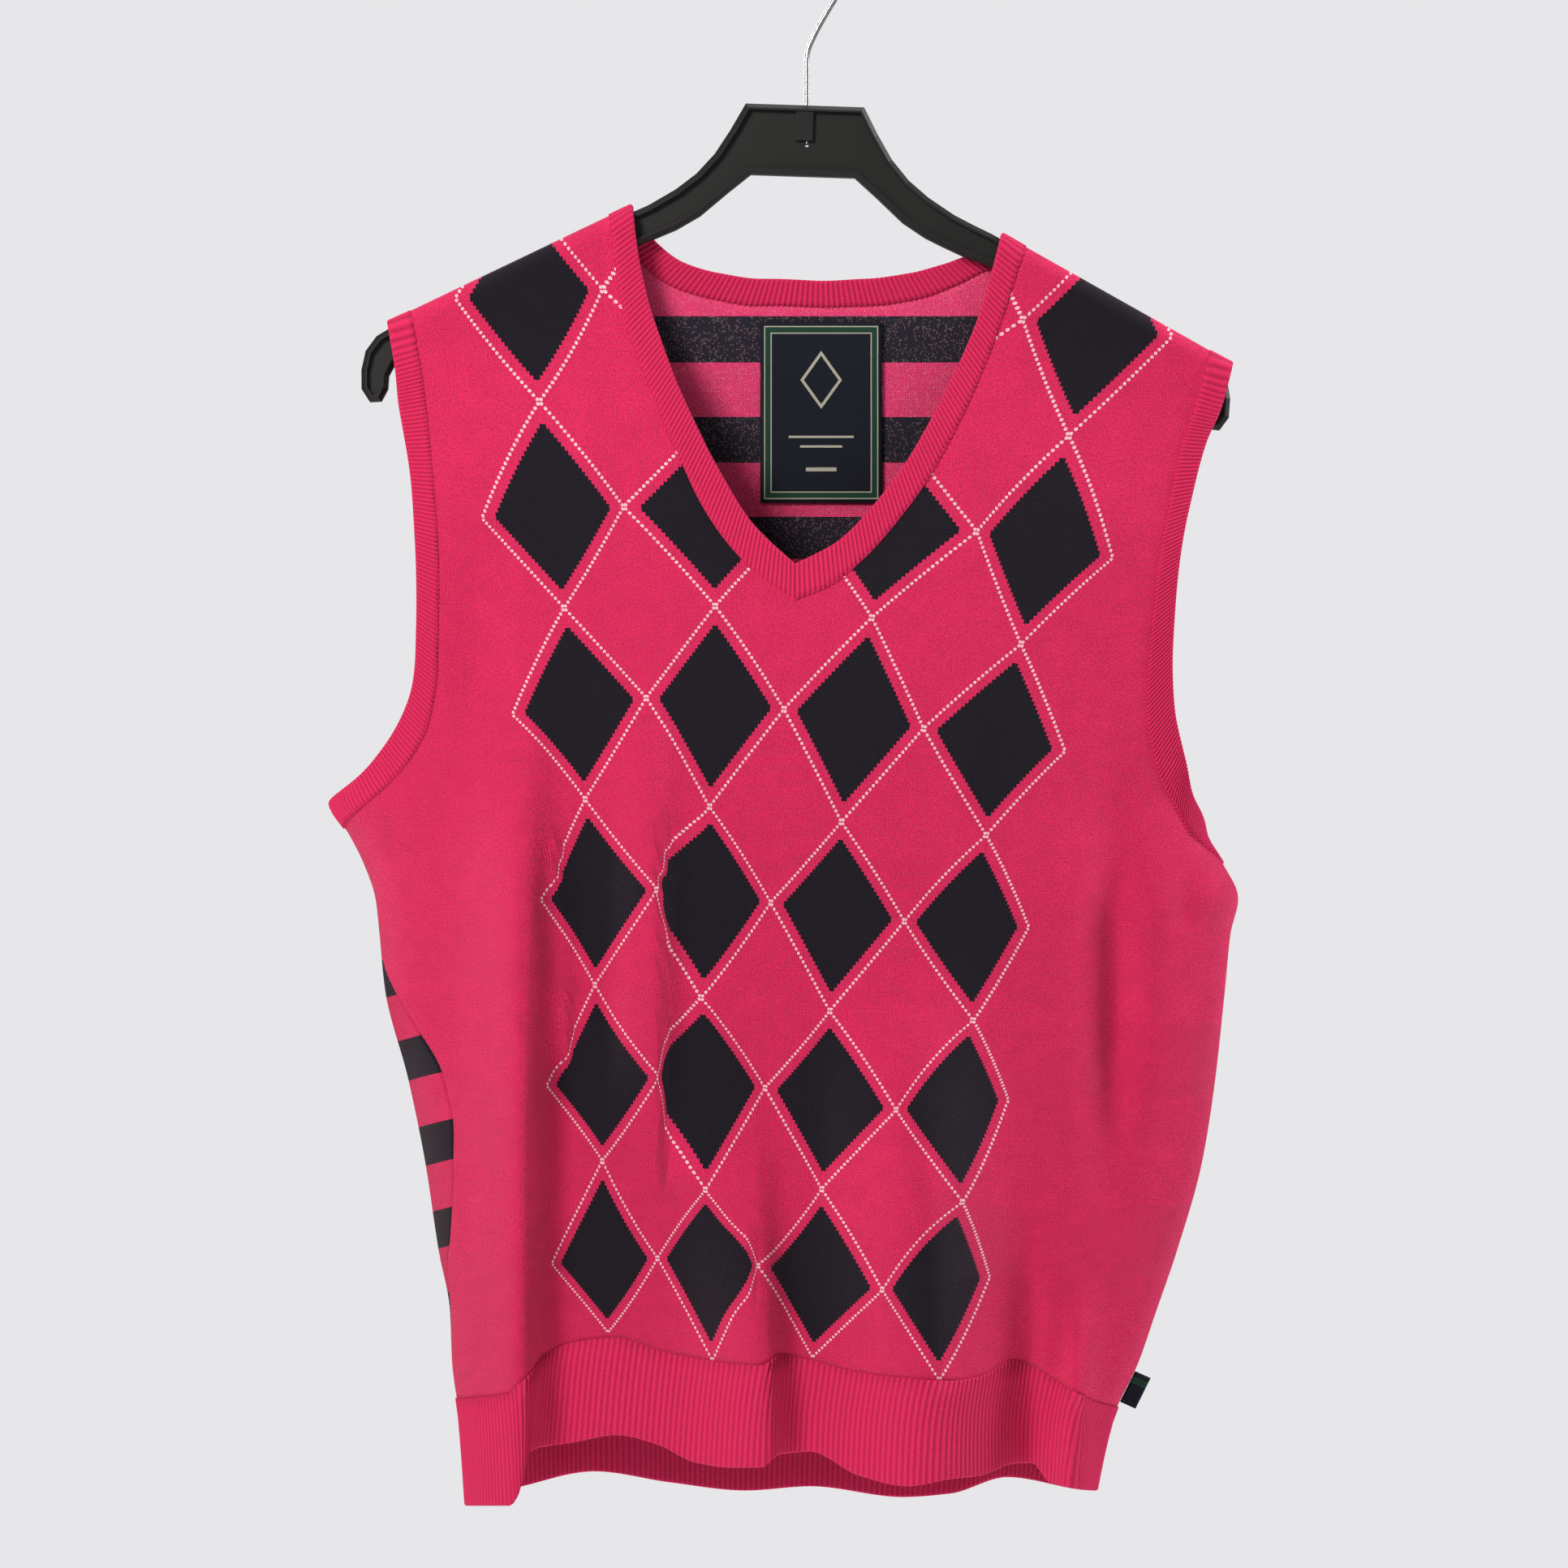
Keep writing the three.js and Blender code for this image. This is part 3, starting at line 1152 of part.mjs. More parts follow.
// Extrudes an outline of x and height evenly to both sides of the hanger's plane
function plate(points, thickness, chamfer) {
  const geometry = new THREE.ExtrudeGeometry(outlineShape(points), {
    depth: thickness - 2 * chamfer,
    bevelEnabled: chamfer > 0,
    bevelThickness: chamfer,
    bevelSize: chamfer,
    bevelOffset: -chamfer,
    bevelSegments: 1,
  });
  geometry.translate(0, 0, chamfer - thickness / 2);
  return geometry.rotateX(HALF_PI);
}

const HOOK_CENTRE_Z = WIRE_RADIUS - HOOK_RADIUS;
const HOOK_FOOT_Z = -118;
const STEM = [[0, HOOK_FOOT_Z], [0, -95], [0, -74], [0.5, -68.5], [3.2, -61.5]];
const ARC = { from: radians(-29), to: radians(196), steps: 22 };
const HOOK_STEPS = 40;
const HOOK_SIDES = 5;

function hookPath() {
  const point = (x, z) => new THREE.Vector3(x, 0, z);
  const points = STEM.map(([x, z]) => point(x, z));
  for (let i = 0; i <= ARC.steps; i++) {
    const angle = mix(ARC.from, ARC.to, i / ARC.steps);
    points.push(point(HOOK_RADIUS * Math.cos(angle), HOOK_CENTRE_Z + HOOK_RADIUS * Math.sin(angle)));
  }
  return new THREE.CatmullRomCurve3(points, false, "centripetal");
}

function hookGeometry() {
  const section = new THREE.Shape();
  section.absarc(0, 0, WIRE_RADIUS, 0, 2 * Math.PI, false);
  return new THREE.ExtrudeGeometry(section, {
    steps: HOOK_STEPS,
    curveSegments: HOOK_SIDES,
    extrudePath: hookPath(),
  });
}

// Round bore for the hook's foot, and the small block in front of it
const BORE_DEPTH = 0.6; // below the hook's foot
const BORE_MARGIN = 6; // above the hanger's top edge
const BORE_SIDES = 12;
const BLOCK = { width: 9, height: 16, top: -2.5, thick: 7.6 };

function hangerGeometry() {
  const outline = mirrored(hangerHalf());
  const pocket = inset(outline, HANGER_RIM);
  const pocketDepth = (HANGER_THICK - HANGER_WEB) / 2;
  let body = solid(plate(outline, HANGER_THICK, HANGER_CHAMFER));
  for (const side of [1, -1]) {
    const cut = plate(pocket, pocketDepth * 2, 0);
    cut.translate(0, side * (HANGER_WEB / 2 + pocketDepth), 0);
    body = body.subtract(solid(cut));
  }
  const block = new THREE.BoxGeometry(BLOCK.width, BLOCK.thick, BLOCK.height);
  block.translate(0, 0, BLOCK.top - BLOCK.height / 2);
  body = body.add(solid(block));
  const turned = geometryOf(body);
  turned.rotateY(HANGER_TILT);
  turned.translate(HEAD_X, 0, HEAD_Z);
  const length = HEAD_Z - HOOK_FOOT_Z + BORE_MARGIN;
  const radius = WIRE_RADIUS + BORE_GAP;
  const bore = new THREE.CylinderGeometry(radius, radius, length, BORE_SIDES);
  bore.rotateX(HALF_PI).translate(0, 0, HOOK_FOOT_Z - BORE_DEPTH + length / 2);
  return geometryOf(solid(turned).subtract(solid(bore)));
}

const FINISHES = {
  front: { color: 0xd82b5e, roughness: 0.95, metalness: 0 },
  label: { color: 0x1e2129, roughness: 0.7, metalness: 0 },
  plastic: { color: 0x2b2a28, roughness: 0.45, metalness: 0 },
  steel: { color: 0xc9cbcc, roughness: 0.25, metalness: 1 },
};

function addPiece(group, name, geometry, finish) {
  const shape = merged(geometry.index ? geometry : geometry.clone());
  shape.computeVertexNormals();
  const mesh = new THREE.Mesh(shape, new THREE.MeshStandardMaterial(FINISHES[finish]));
  mesh.name = name;
  group.add(mesh);
}

const vest = new THREE.Group();
addPiece(vest, "front_panel", frontPanel(), "front");
addPiece(vest, "back_panel", backPanel(), "front");
addPiece(vest, "hem_rib_front", hemRibFront(), "front");
addPiece(vest, "hem_rib_back", hemRibBack(), "front");
addPiece(vest, "neck_band_left", frontNeckBand("left"), "front");
addPiece(vest, "neck_band_right", frontNeckBand("right"), "front");
addPiece(vest, "neck_band_back", backNeckBand(), "front");
addPiece(vest, "armhole_band_left", armholeBand("left"), "front");
addPiece(vest, "armhole_band_right", armholeBand("right"), "front");
addPiece(vest, "neck_label", neckLabel(), "label");
addPiece(vest, "side_tag", sideTag(), "label");
addPiece(vest, "hanger_body", hangerGeometry(), "plastic");
addPiece(vest, "hanger_hook", hookGeometry(), "steel");

export default vest;
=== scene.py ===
"""A knitted V-neck sweater vest on a moulded hanger: fine cloth shells, their materials and the studio.

The tables and the chart are those of the solids, in millimetres, and become metres as each mesh is made. A
chart point is a place on the cloth: its turn is the angle round the body from the middle of the front, and
its way is the length of cloth down from the crest over the hanger's arms, below zero past the crest.
"""

import bpy  # noqa: E402
import numpy as np  # noqa: E402
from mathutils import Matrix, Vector  # noqa: E402

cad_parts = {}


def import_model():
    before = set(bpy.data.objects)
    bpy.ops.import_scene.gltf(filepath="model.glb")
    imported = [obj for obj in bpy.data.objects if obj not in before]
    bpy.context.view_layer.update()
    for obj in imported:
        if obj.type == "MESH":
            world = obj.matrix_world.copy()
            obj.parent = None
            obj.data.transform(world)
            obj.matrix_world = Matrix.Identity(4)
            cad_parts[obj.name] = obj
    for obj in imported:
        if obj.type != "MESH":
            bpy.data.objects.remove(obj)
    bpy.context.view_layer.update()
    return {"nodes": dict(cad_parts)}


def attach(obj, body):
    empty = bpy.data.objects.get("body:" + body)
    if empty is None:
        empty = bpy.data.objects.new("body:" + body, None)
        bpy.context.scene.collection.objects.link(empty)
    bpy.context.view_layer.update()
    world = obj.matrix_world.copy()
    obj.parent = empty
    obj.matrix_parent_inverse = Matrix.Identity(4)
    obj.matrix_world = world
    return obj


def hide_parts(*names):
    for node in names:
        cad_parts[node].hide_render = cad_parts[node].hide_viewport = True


MM = 0.001

# The view that the tables are measured from, in millimetres
EYE_DISTANCE = 2200
EYE_X = -12
EYE_Z = -452

# Cloth, in millimetres
WALL = 1.8
RIB_WALL = 2.0
RIB_RISE = 0.75
HEM_RIB_PITCH = 3.1
NECK_RIB_PITCH = 2.9
ARMHOLE_RIB_PITCH = 2.5
# Wales and courses are drawn a little coarser than the real ones, so that they show in a render
WALE = 1.44
COURSE = 1.0

# Hanger, in millimetres
HANGER_TILT = np.radians(1.9)
HEAD_X = -1
HEAD_Z = -97
ARM_START = 97
ARM_START_DROP = 62.5
ARM_SLOPE = 0.52

# How the cloth goes over the hanger's arms and falls away from them, in millimetres
CREST_RADIUS = 7.5
CREST_LIFT = 2.6
SHOULDER_SEAM_WAY = 18
DRAPE_LENGTH = 130
FOLD_START = 150
FOLD_END = 0.35
SIDE_OPEN = 0.35
HALF_PI = np.pi / 2
CREST_WAY = CREST_RADIUS * HALF_PI


def table(names, *rows):
    """A table as one array for each named column."""
    return dict(zip(names.split(), np.array(rows, float).T, strict=True))


def rows_of(columns):
    """A table's rows, each with its values by their columns' names."""
    return [dict(zip(columns, row, strict=True)) for row in zip(*columns.values(), strict=True)]


# The body's outline and its depth to the front and back, the side seams' angles past the sides in degrees,
# and the line down the middle of the front
BODY = table(
    "z left right front back",
    (-90, -310, 320, 8, 8),
    (-200, -290, 295, 12, 14),
    (-260, -275, 276, 23, 24),
    (-320, -262, 252, 35, 34),
    (-370, -253, 237, 45, 43),
    (-410, -247, 223, 52, 49),
    (-440, -247, 212, 56, 53),
    (-461, -249, 206, 58, 55),
    (-478, -239, 208, 59, 56),
    (-494, -231, 217, 60, 57),
    (-512, -225, 225, 60, 58),
    (-530, -223, 221, 60, 59),
    (-560, -220, 218, 59, 60),
    (-606, -208, 213, 57, 60),
    (-650, -199, 206, 54, 61),
    (-696, -192, 193, 50, 61),
    (-728, -186, 182, 46, 60),
    (-754, -185, 173, 44, 60),
    (-785, -181, 159, 42, 58),
    (-840, -177, 147, 40, 56),
)
SIDE_SEAMS = table(
    "z left right",
    (-461, 0, 8),
    (-540, 3, 7),
    (-560, 12, 6),
    (-583, 20, 5),
    (-615, 25, 5),
    (-640, 23, 4),
    (-687, 16, 3),
    (-720, 5, 1),
    (-760, 0, 0),
    (-840, 0, 0),
)
MIDDLE = table("z x", (-355.3, -6.2), (-413, -12), (-514, -19), (-611, -22), (-704, -26), (-840, -29))

# Seam to the panel and free edge of each band, as places seen from the front
EDGES = "seamX seamZ edgeX edgeZ"
NECK_CREST = {"left": {"seam": -102.5, "edge": -91}, "right": {"seam": 113.5, "edge": 101.5}}
NECK = {
    "left": table(
        EDGES,
        (-99.7, -179.4, -89, -169),
        (-95.4, -206.6, -83.5, -196.8),
        (-86.9, -230.8, -76.3, -219.3),
        (-79.3, -249.9, -67.4, -243),
        (-65.7, -282.2, -53.8, -272.4),
        (-55, -305, -43.1, -292.4),
        (-40.2, -326.8, -29.5, -314),
        (-25.3, -341.7, -18.5, -325.6),
        (-6.2, -355.3, -6.2, -336.6),
    ),
    "right": table(
        EDGES,
        (109.4, -184, 97.5, -180.6),
        (100.9, -210.4, 89.9, -206.6),
        (91.6, -235, 80.5, -229.5),
        (77.1, -266.9, 65.7, -259.3),
        (62.7, -292.8, 50.8, -284.8),
        (44, -317.9, 32.9, -308.1),
        (27.8, -335.3, 16.8, -324.3),
        (10.8, -348.5, 4.5, -331.5),
        (-6.2, -355.3, -6.2, -336.6),
    ),
}
BACK_NECK_ENDS = {"left": {"seam": -97, "edge": -85.5}, "right": {"seam": 107, "edge": 95}}
NECK_BACK = table(
    EDGES,
    (-88, -177, -78, -169),
    (-73.3, -189.6, -65, -178.6),
    (-48.7, -197.6, -45.3, -184.5),
    (-25.3, -201, -23.6, -187.4),
    (3.2, -201.5, 3.2, -188.3),
    (32, -201, 30.4, -187.4),
    (57.6, -197.6, 53.3, -184.5),
    (78, -190.4, 71.2, -179.8),
    (95, -182.5, 86.5, -174.7),
)
ARMHOLE_CREST = {"left": {"seam": -208, "edge": -219.5}, "right": {"seam": 211, "edge": 222.5}}
ARMHOLE = {
    "left": table(
        EDGES,
        (-204.6, -224.4, -216.5, -230),
        (-200, -254.6, -213.5, -256),
        (-197, -285, -208.5, -285),
        (-194, -322, -205.5, -322),
        (-193.5, -367, -204.6, -367),
        (-194.5, -400, -206, -396),
        (-199.5, -423.7, -212, -416),
        (-211, -442.9, -222, -433),
        (-226, -458, -237, -450),
    ),
    "right": table(
        EDGES,
        (207.5, -243, 218.7, -250),
        (197, -275, 209, -274),
        (190.2, -307.3, 200.4, -307.3),
        (183.5, -347, 194, -347),
        (180, -380, 191.7, -380),
        (178.7, -415, 192.5, -412),
        (184, -444, 198, -439),
        (192, -462, 202, -459),
        (201, -479, 205.5, -467),
    ),
}
UNDERARM = {"left": {"seam": -474, "edge": -461}, "right": {"seam": -494, "edge": -480}}
BACK_ARMHOLE_INSET = 4

HEM = {
    "front": table(
        "x seam edge",
        (-186, -775, -830),
        (-156, -772, -830),
        (-151, -767, -824),
        (-146, -761, -802),
        (-138, -751, -799),
        (-123, -745, -797),
        (-100, -742.5, -793),
        (-78, -749, -798),
        (-58, -753, -807.5),
        (-39, -756, -810),
        (-24, -757, -810),
        (-15, -751, -803.3),
        (1.5, -754, -801.6),
        (27, -760.5, -814),
        (53, -763.7, -819.8),
        (75, -765, -816),
        (90, -762.5, -814.3),
        (108, -754, -808),
        (118, -757, -807.5),
        (128, -763, -818),
        (150, -776, -822),
        (175, -781, -822),
    ),
    "back": table(
        "x seam edge",
        (-186, -775, -830),
        (-150, -766, -820),
        (-111, -758, -812),
        (-72, -763, -817.7),
        (-32, -767, -822),
        (2, -765, -819.8),
        (50, -770, -825.4),
        (75, -769, -823.6),
        (105, -767, -815),
        (150, -776, -822),
        (175, -781, -822),
    ),
}

# Folds: a crest from its top place to its low one, how far it stands out, its reach to each side, and
# whether it dies away (1) or runs on to the hem (0). A negative rise is a trough. The front's last five are
# shallow ones that the solids lack.
FOLD = "topX topZ lowX lowZ rise reachLeft reachRight ends"
FRONT_FOLDS = table(
    FOLD,
    (-149, -400, -151, -700, 30, 22, 11, 0),
    (-131, -430, -129, -620, 6, 10, 8, 1),
    (-78, -360, -77, -660, 11, 24, 8, 1),
    (-31, -600, -22, -770, 22, 30, 9, 0),
    (55, -520, 66, -780, 32, 42, 30, 0),
    (114, -640, 114, -780, -12, 14, 9, 0),
    (146, -700, 139, -800, 20, 8, 9, 0),
    (161, -400, 163, -660, -9, 13, 15, 1),
    (-168, -270, -176, -440, -5, 14, 18, 1),
    (157, -440, 159, -700, -7, 9, 11, 1),
    (199, -478, 197, -532, -4, 6, 6, 1),
    (-100, -420, -104, -640, -3, 8, 8, 1),
    (12, -520, 6, -700, -3, 12, 10, 1),
    (92, -380, 84, -520, -2.5, 9, 10, 1),
)
BACK_FOLDS = table(
    FOLD,
    (-140, -430, -136, -740, 16, 26, 16, 0),
    (-84, -500, -92, -740, -9, 20, 17, 0),
    (-38, -540, -34, -760, 11, 22, 26, 0),
    (36, -470, 28, -730, -10, 24, 18, 0),
    (92, -420, 84, -720, 14, 24, 20, 0),
    (156, -450, 128, -740, -7, 16, 15, 0),
)


def through(keys, values):
    """A curve through a table's points, with no overshoot between them."""
    order = np.argsort(keys)
    keys = np.asarray(keys, float)[order]
    values = np.asarray(values, float)[order]
    spans = np.diff(keys)
    slopes = np.diff(values) / spans
    tangents = np.zeros_like(values)
    tangents[0] = slopes[0]
    tangents[-1] = slopes[-1]
    product = slopes[:-1] * slopes[1:]
    total = np.where(product > 0, slopes[:-1] + slopes[1:], 1.0)
    tangents[1:-1] = np.where(product > 0, 2 * product / total, 0.0)

    def curve(key):
        key = np.clip(key, keys[0], keys[-1])
        i = np.clip(np.searchsorted(keys, key, side="left") - 1, 0, len(spans) - 1)
        t = (key - keys[i]) / spans[i]
        rest = 1 - t
        return (
            (1 + 2 * t) * rest * rest * values[i]
            + t * rest * rest * spans[i] * tangents[i]
            + t * t * (3 - 2 * t) * values[i + 1]
            - t * t * rest * spans[i] * tangents[i + 1]
        )

    return curve


def column(rows, key, name):
    """A curve through one of a table's columns."""
    return through(rows[key], rows[name])


body_left = column(BODY, "z", "left")
body_right = column(BODY, "z", "right")
front_depth = column(BODY, "z", "front")
back_depth = column(BODY, "z", "back")
middle_x = column(MIDDLE, "z", "x")
seam_turns = {"left": column(SIDE_SEAMS, "z", "left"), "right": column(SIDE_SEAMS, "z", "right")}


def body_centre(z):
    return (body_left(z) + body_right(z)) / 2


def body_half(z):
    return (body_right(z) - body_left(z)) / 2


def mix(a, b, t):
    return a + (b - a) * t


def ease(t):
    t = np.clip(t, 0, 1)
    return t * t * (3 - 2 * t)


def arm_top(x):
    """Top edge of the hanger in its own upright frame, carried on as a low dome behind the head."""
    out = np.abs(x)
    dome = -ARM_START_DROP + ARM_SLOPE * ARM_START * (1 - (out / ARM_START) ** 2) / 2
    return np.where(out >= ARM_START, -ARM_START_DROP - ARM_SLOPE * (out - ARM_START), dome)


# Passes that close in on a place, enough for it to settle
TILT_PASSES = 4
CHART_PASSES = 12
HEM_PASSES = 13


def crest_height(x):
    """Height of the cloth's crest over the tilted hanger."""
    own = x - HEAD_X
    for _ in range(TILT_PASSES):
        own = (x - HEAD_X - arm_top(own) * np.sin(HANGER_TILT)) / np.cos(HANGER_TILT)
    return HEAD_Z + arm_top(own) * np.cos(HANGER_TILT) - own * np.sin(HANGER_TILT) + CREST_LIFT


def drop_at(way):
    """How far below the crest the cloth is at a length from it."""
    out = np.abs(way)
    over = CREST_RADIUS * (1 - np.cos(np.minimum(out / CREST_RADIUS, HALF_PI)))
    return over + np.maximum(out - CREST_WAY, 0)


def way_at(drop):
    """Length of cloth from the crest to a drop below it."""
    near = CREST_RADIUS * np.arccos(1 - np.clip(drop, 0, CREST_RADIUS) / CREST_RADIUS)
    return np.where(drop < CREST_RADIUS, near, drop - CREST_RADIUS + CREST_WAY)


def fold_rise(folds, x, z):
    """How far the folds stand out at places seen from the front."""
    rise = np.zeros(np.broadcast(x, z).shape)
    for fold in rows_of(folds):
        length = fold["topZ"] - fold["lowZ"]
        along = (fold["topZ"] - z) / length
        x0 = mix(fold["topX"], fold["lowX"], np.clip(along, 0, 1))
        reach = np.where(x < x0, fold["reachLeft"], fold["reachRight"])
        start = ease(along * length / min(FOLD_START, length))
        end = ease((1 - along) / FOLD_END) if fold["ends"] else 1.0
        rise += fold["rise"] * start * end * np.exp(-(((x - x0) / reach) ** 2))
    return rise


def seen_place(turn, way):
    """Where a chart point is seen from the front, closed in on step by step."""
    x = np.zeros(np.shape(turn))
    for _ in range(CHART_PASSES):
        z = crest_height(x) - drop_at(way)
        x = body_centre(z) + body_half(z) * np.sin(turn)
    return x, z


def cloth_point(turn, way):
    """Middle of the cloth's wall, in millimetres, from the angle round the body and the length of cloth
    from the crest over the hanger."""
    x, z = seen_place(turn, way)
    facing = np.cos(turn)
    front = (facing >= 0) == (way >= 0)
    depth = np.where(front, front_depth(z), back_depth(z))
    open_share = ease(np.abs(facing) / SIDE_OPEN)
    out = np.abs(way)
    over = CREST_RADIUS * np.sin(np.minimum(out / CREST_RADIUS, HALF_PI)) * open_share
    drape = (depth - CREST_RADIUS) * np.abs(facing) * ease(out / DRAPE_LENGTH)
    folds = np.where(front, fold_rise(FRONT_FOLDS, x, z), fold_rise(BACK_FOLDS, x, z)) * open_share
    y = (over + drape + folds) * np.where(front, -1, 1)
    scale = (EYE_DISTANCE + y) / EYE_DISTANCE
    return np.stack([EYE_X + (x - EYE_X) * scale, y, EYE_Z + (z - EYE_Z) * scale], axis=-1)


TURN_STEP = 0.004
WAY_STEP = 0.4


def cloth_normal(turn, way):
    """The cloth's outward direction at chart points."""
    across = cloth_point(turn + TURN_STEP, way) - cloth_point(turn - TURN_STEP, way)
    down = cloth_point(turn, way + WAY_STEP) - cloth_point(turn, way - WAY_STEP)
    normal = np.cross(down, across)
    return normal / np.linalg.norm(normal, axis=-1, keepdims=True)


def front_chart(x, z):
    """Chart points of places seen on the front, as rows of turn and way."""
    x, z = np.broadcast_arrays(np.asarray(x, float), np.asarray(z, float))
    sine = np.clip((x - body_centre(z)) / body_half(z), -1, 1)
    return np.stack([np.arcsin(sine), way_at(crest_height(x) - z)], axis=-1)


def back_chart(x, z):
    """Chart points of places on the back, as seen through the front."""
    chart = front_chart(x, z)
    chart[..., 0] = np.pi - chart[..., 0]
    return chart


# Least length of a step, because a curve's keys have to grow, and the points that measure a curve's length
LEAST_STEP = 0.01
LENGTH_SAMPLES = 200


def lengths_along(points):
    """Length of cloth from the first of a curve's chart points to each of them."""
    places = cloth_point(points[:, 0], points[:, 1])
    steps = np.maximum(np.linalg.norm(np.diff(places, axis=0), axis=1), LEAST_STEP)
    return np.concatenate([[0], np.cumsum(steps)])


def resampled(points, shares):
    """Chart points at shares of the length of a curve through a list of chart points."""
    points = np.asarray(points, float)
    keys = lengths_along(points)
    at = np.asarray(shares) * keys[-1]
    return np.stack([through(keys, points[:, 0])(at), through(keys, points[:, 1])(at)], axis=-1)


def curve_length(points):
    """Length of the smooth curve through chart points."""
    return lengths_along(resampled(points, np.linspace(0, 1, LENGTH_SAMPLES)))[-1]


def crest_turn(x):
    """Turn of the crest's point that is seen at x."""
    return front_chart(x, crest_height(x))[..., 0]


def side_chart(turn, z):
    """Chart points at a turn round the body and a height."""
    x = body_centre(z) + body_half(z) * np.sin(turn)
    return np.stack(np.broadcast_arrays(turn, way_at(crest_height(x) - z)), axis=-1)


def hem_chart(turn, name):
    """Chart points of the hem's seam or free edge at angles round the body."""
    turn = np.asarray(turn, float)
    heights = {side: column(HEM[side], "x", name) for side in HEM}
    x = np.zeros_like(turn)
    for _ in range(HEM_PASSES):
        z = np.where(np.cos(turn) >= 0, heights["front"](x), heights["back"](x))
        x = body_centre(z) + body_half(z) * np.sin(turn)
    return np.stack([turn, way_at(crest_height(x) - z)], axis=-1)


SIGN = {"left": -1, "right": 1}


def side_seam_turn(name, z):
    """Turn of a side seam at a height."""
    return SIGN[name] * HALF_PI + np.radians(seam_turns[name](z))


def armhole_curve(name, edge, on_back):
    """Chart points down an armhole from the shoulder seam to the underarm, on the front or on the back."""
    rows = ARMHOLE[name]
    count = len(rows["seamX"])
    inset = BACK_ARMHOLE_INSET * np.sin(np.pi * np.arange(1, count + 1) / (count + 1)) if on_back else 0
    chart = front_chart(rows[edge + "X"] - SIGN[name] * inset, rows[edge + "Z"])
    top = [crest_turn(ARMHOLE_CREST[name][edge]), SHOULDER_SEAM_WAY if on_back else -SHOULDER_SEAM_WAY]
    z = UNDERARM[name][edge]
    under = side_chart(side_seam_turn(name, z), z)
    curve = np.vstack([top, chart, under])
    if on_back:
        curve[:-1, 0] = np.pi - curve[:-1, 0]
        if name == "left":
            curve[-1, 0] += 2 * np.pi
    return curve


SIDE_POINTS = 14


def side_seam_curve(name, on_back):
    """Chart points down a side seam, from the underarm to the hem."""
    top = UNDERARM[name]["seam"]
    low = HEM["front"]["seam"][0 if name == "left" else -1]
    z = np.linspace(top, low, SIDE_POINTS, endpoint=False)
    points = np.vstack([side_chart(side_seam_turn(name, z), z), hem_chart(SIGN[name] * HALF_PI, "seam")])
    if on_back and name == "left":
        points[:, 0] += 2 * np.pi
    return points


def neck_curve(name, edge):
    """Chart points down one side of the V, from the shoulder seam to its point."""
    turn = crest_turn(NECK_CREST[name][edge])
    rows = NECK[name]
    start = [[turn, -SHOULDER_SEAM_WAY], [turn, 0]]
    return np.vstack([start, front_chart(rows[edge + "X"], rows[edge + "Z"])])


def back_neck_curve(edge):
    """Chart points along the back neck, from the right shoulder seam to the left one."""
    ends = [np.pi - crest_turn(BACK_NECK_ENDS[name][edge]) for name in ("right", "left")]
    rows = back_chart(NECK_BACK[edge + "X"][::-1], NECK_BACK[edge + "Z"][::-1])
    return np.vstack([[ends[0], SHOULDER_SEAM_WAY], rows, [ends[1], SHOULDER_SEAM_WAY]])


MIDDLE_LOW = -755
MIDDLE_END = -752
MIDDLE_POINTS = 12


def middle_curve():
    """Chart points down the middle of the front, from the point of the V to the hem."""
    z = np.linspace(NECK["left"]["seamZ"][-1], MIDDLE_END, MIDDLE_POINTS, endpoint=False)
    last = front_chart(middle_x(MIDDLE_LOW), MIDDLE_LOW)
    return np.vstack([front_chart(middle_x(z), z), hem_chart(last[0], "seam")])


# How finely the panels are drawn, in grid steps. The squeeze draws the front's columns closer together in the
# outer half of each side, where its sharpest folds are.
CREST_ROWS = 14
FRONT_COLUMNS = 96
FRONT_ROWS = {"outer": (72, 90), "inner": (54, 108)}
BACK_ROWS = (90, 90)
BACK_SHOULDER_COLUMNS = 28
BACK_NECK_COLUMNS = 72
FOLD_SQUEEZE = 0.07
EDGE_SAMPLES = 1500
PAST_SEAM = 5


def grid_ids(grid):
    """Vertex numbers of a chart grid, row by row."""
    return np.arange(grid[..., 0].size).reshape(grid.shape[:2])


def edge_rows(first, second, counts, crosses):
    """Chart points down a panel's edge: over the crest, evenly to its corner and evenly on to the hem."""
    dense = np.linspace(0, 1, EDGE_SAMPLES)
    way = resampled(first, dense)[:, 1]
    near = np.argmax(way > SHOULDER_SEAM_WAY + PAST_SEAM)
    from_share = 0.0
    shares = np.zeros(1)
    if crosses:
        over = np.linspace(-SHOULDER_SEAM_WAY, SHOULDER_SEAM_WAY, CREST_ROWS + 1)
        shares = np.interp(over, way[: near + 1], dense[: near + 1])
        from_share = shares[-1]
    shares = np.concatenate([shares, np.linspace(from_share, 1, counts[0] + 1)[1:]])
    low = resampled(second, np.linspace(0, 1, counts[1] + 1))[1:]
    return np.vstack([resampled(first, shares), low])


def down_shares(points):
    """Each row's share of the way down an edge."""
    keys = lengths_along(points)
    return keys / keys[-1]


def patch(top, bottom, first, last, across):
    """Chart points between four edges that meet at their corners."""
    t = ((down_shares(first) + down_shares(last)) / 2)[:, None, None]
    s = across[None, :, None]
    sides = mix(first[:, None], last[:, None], s)
    ends = mix(top[None], bottom[None], t)
    corners = mix(mix(first[0], last[0], s), mix(first[-1], last[-1], s), t)
    return sides + ends - corners


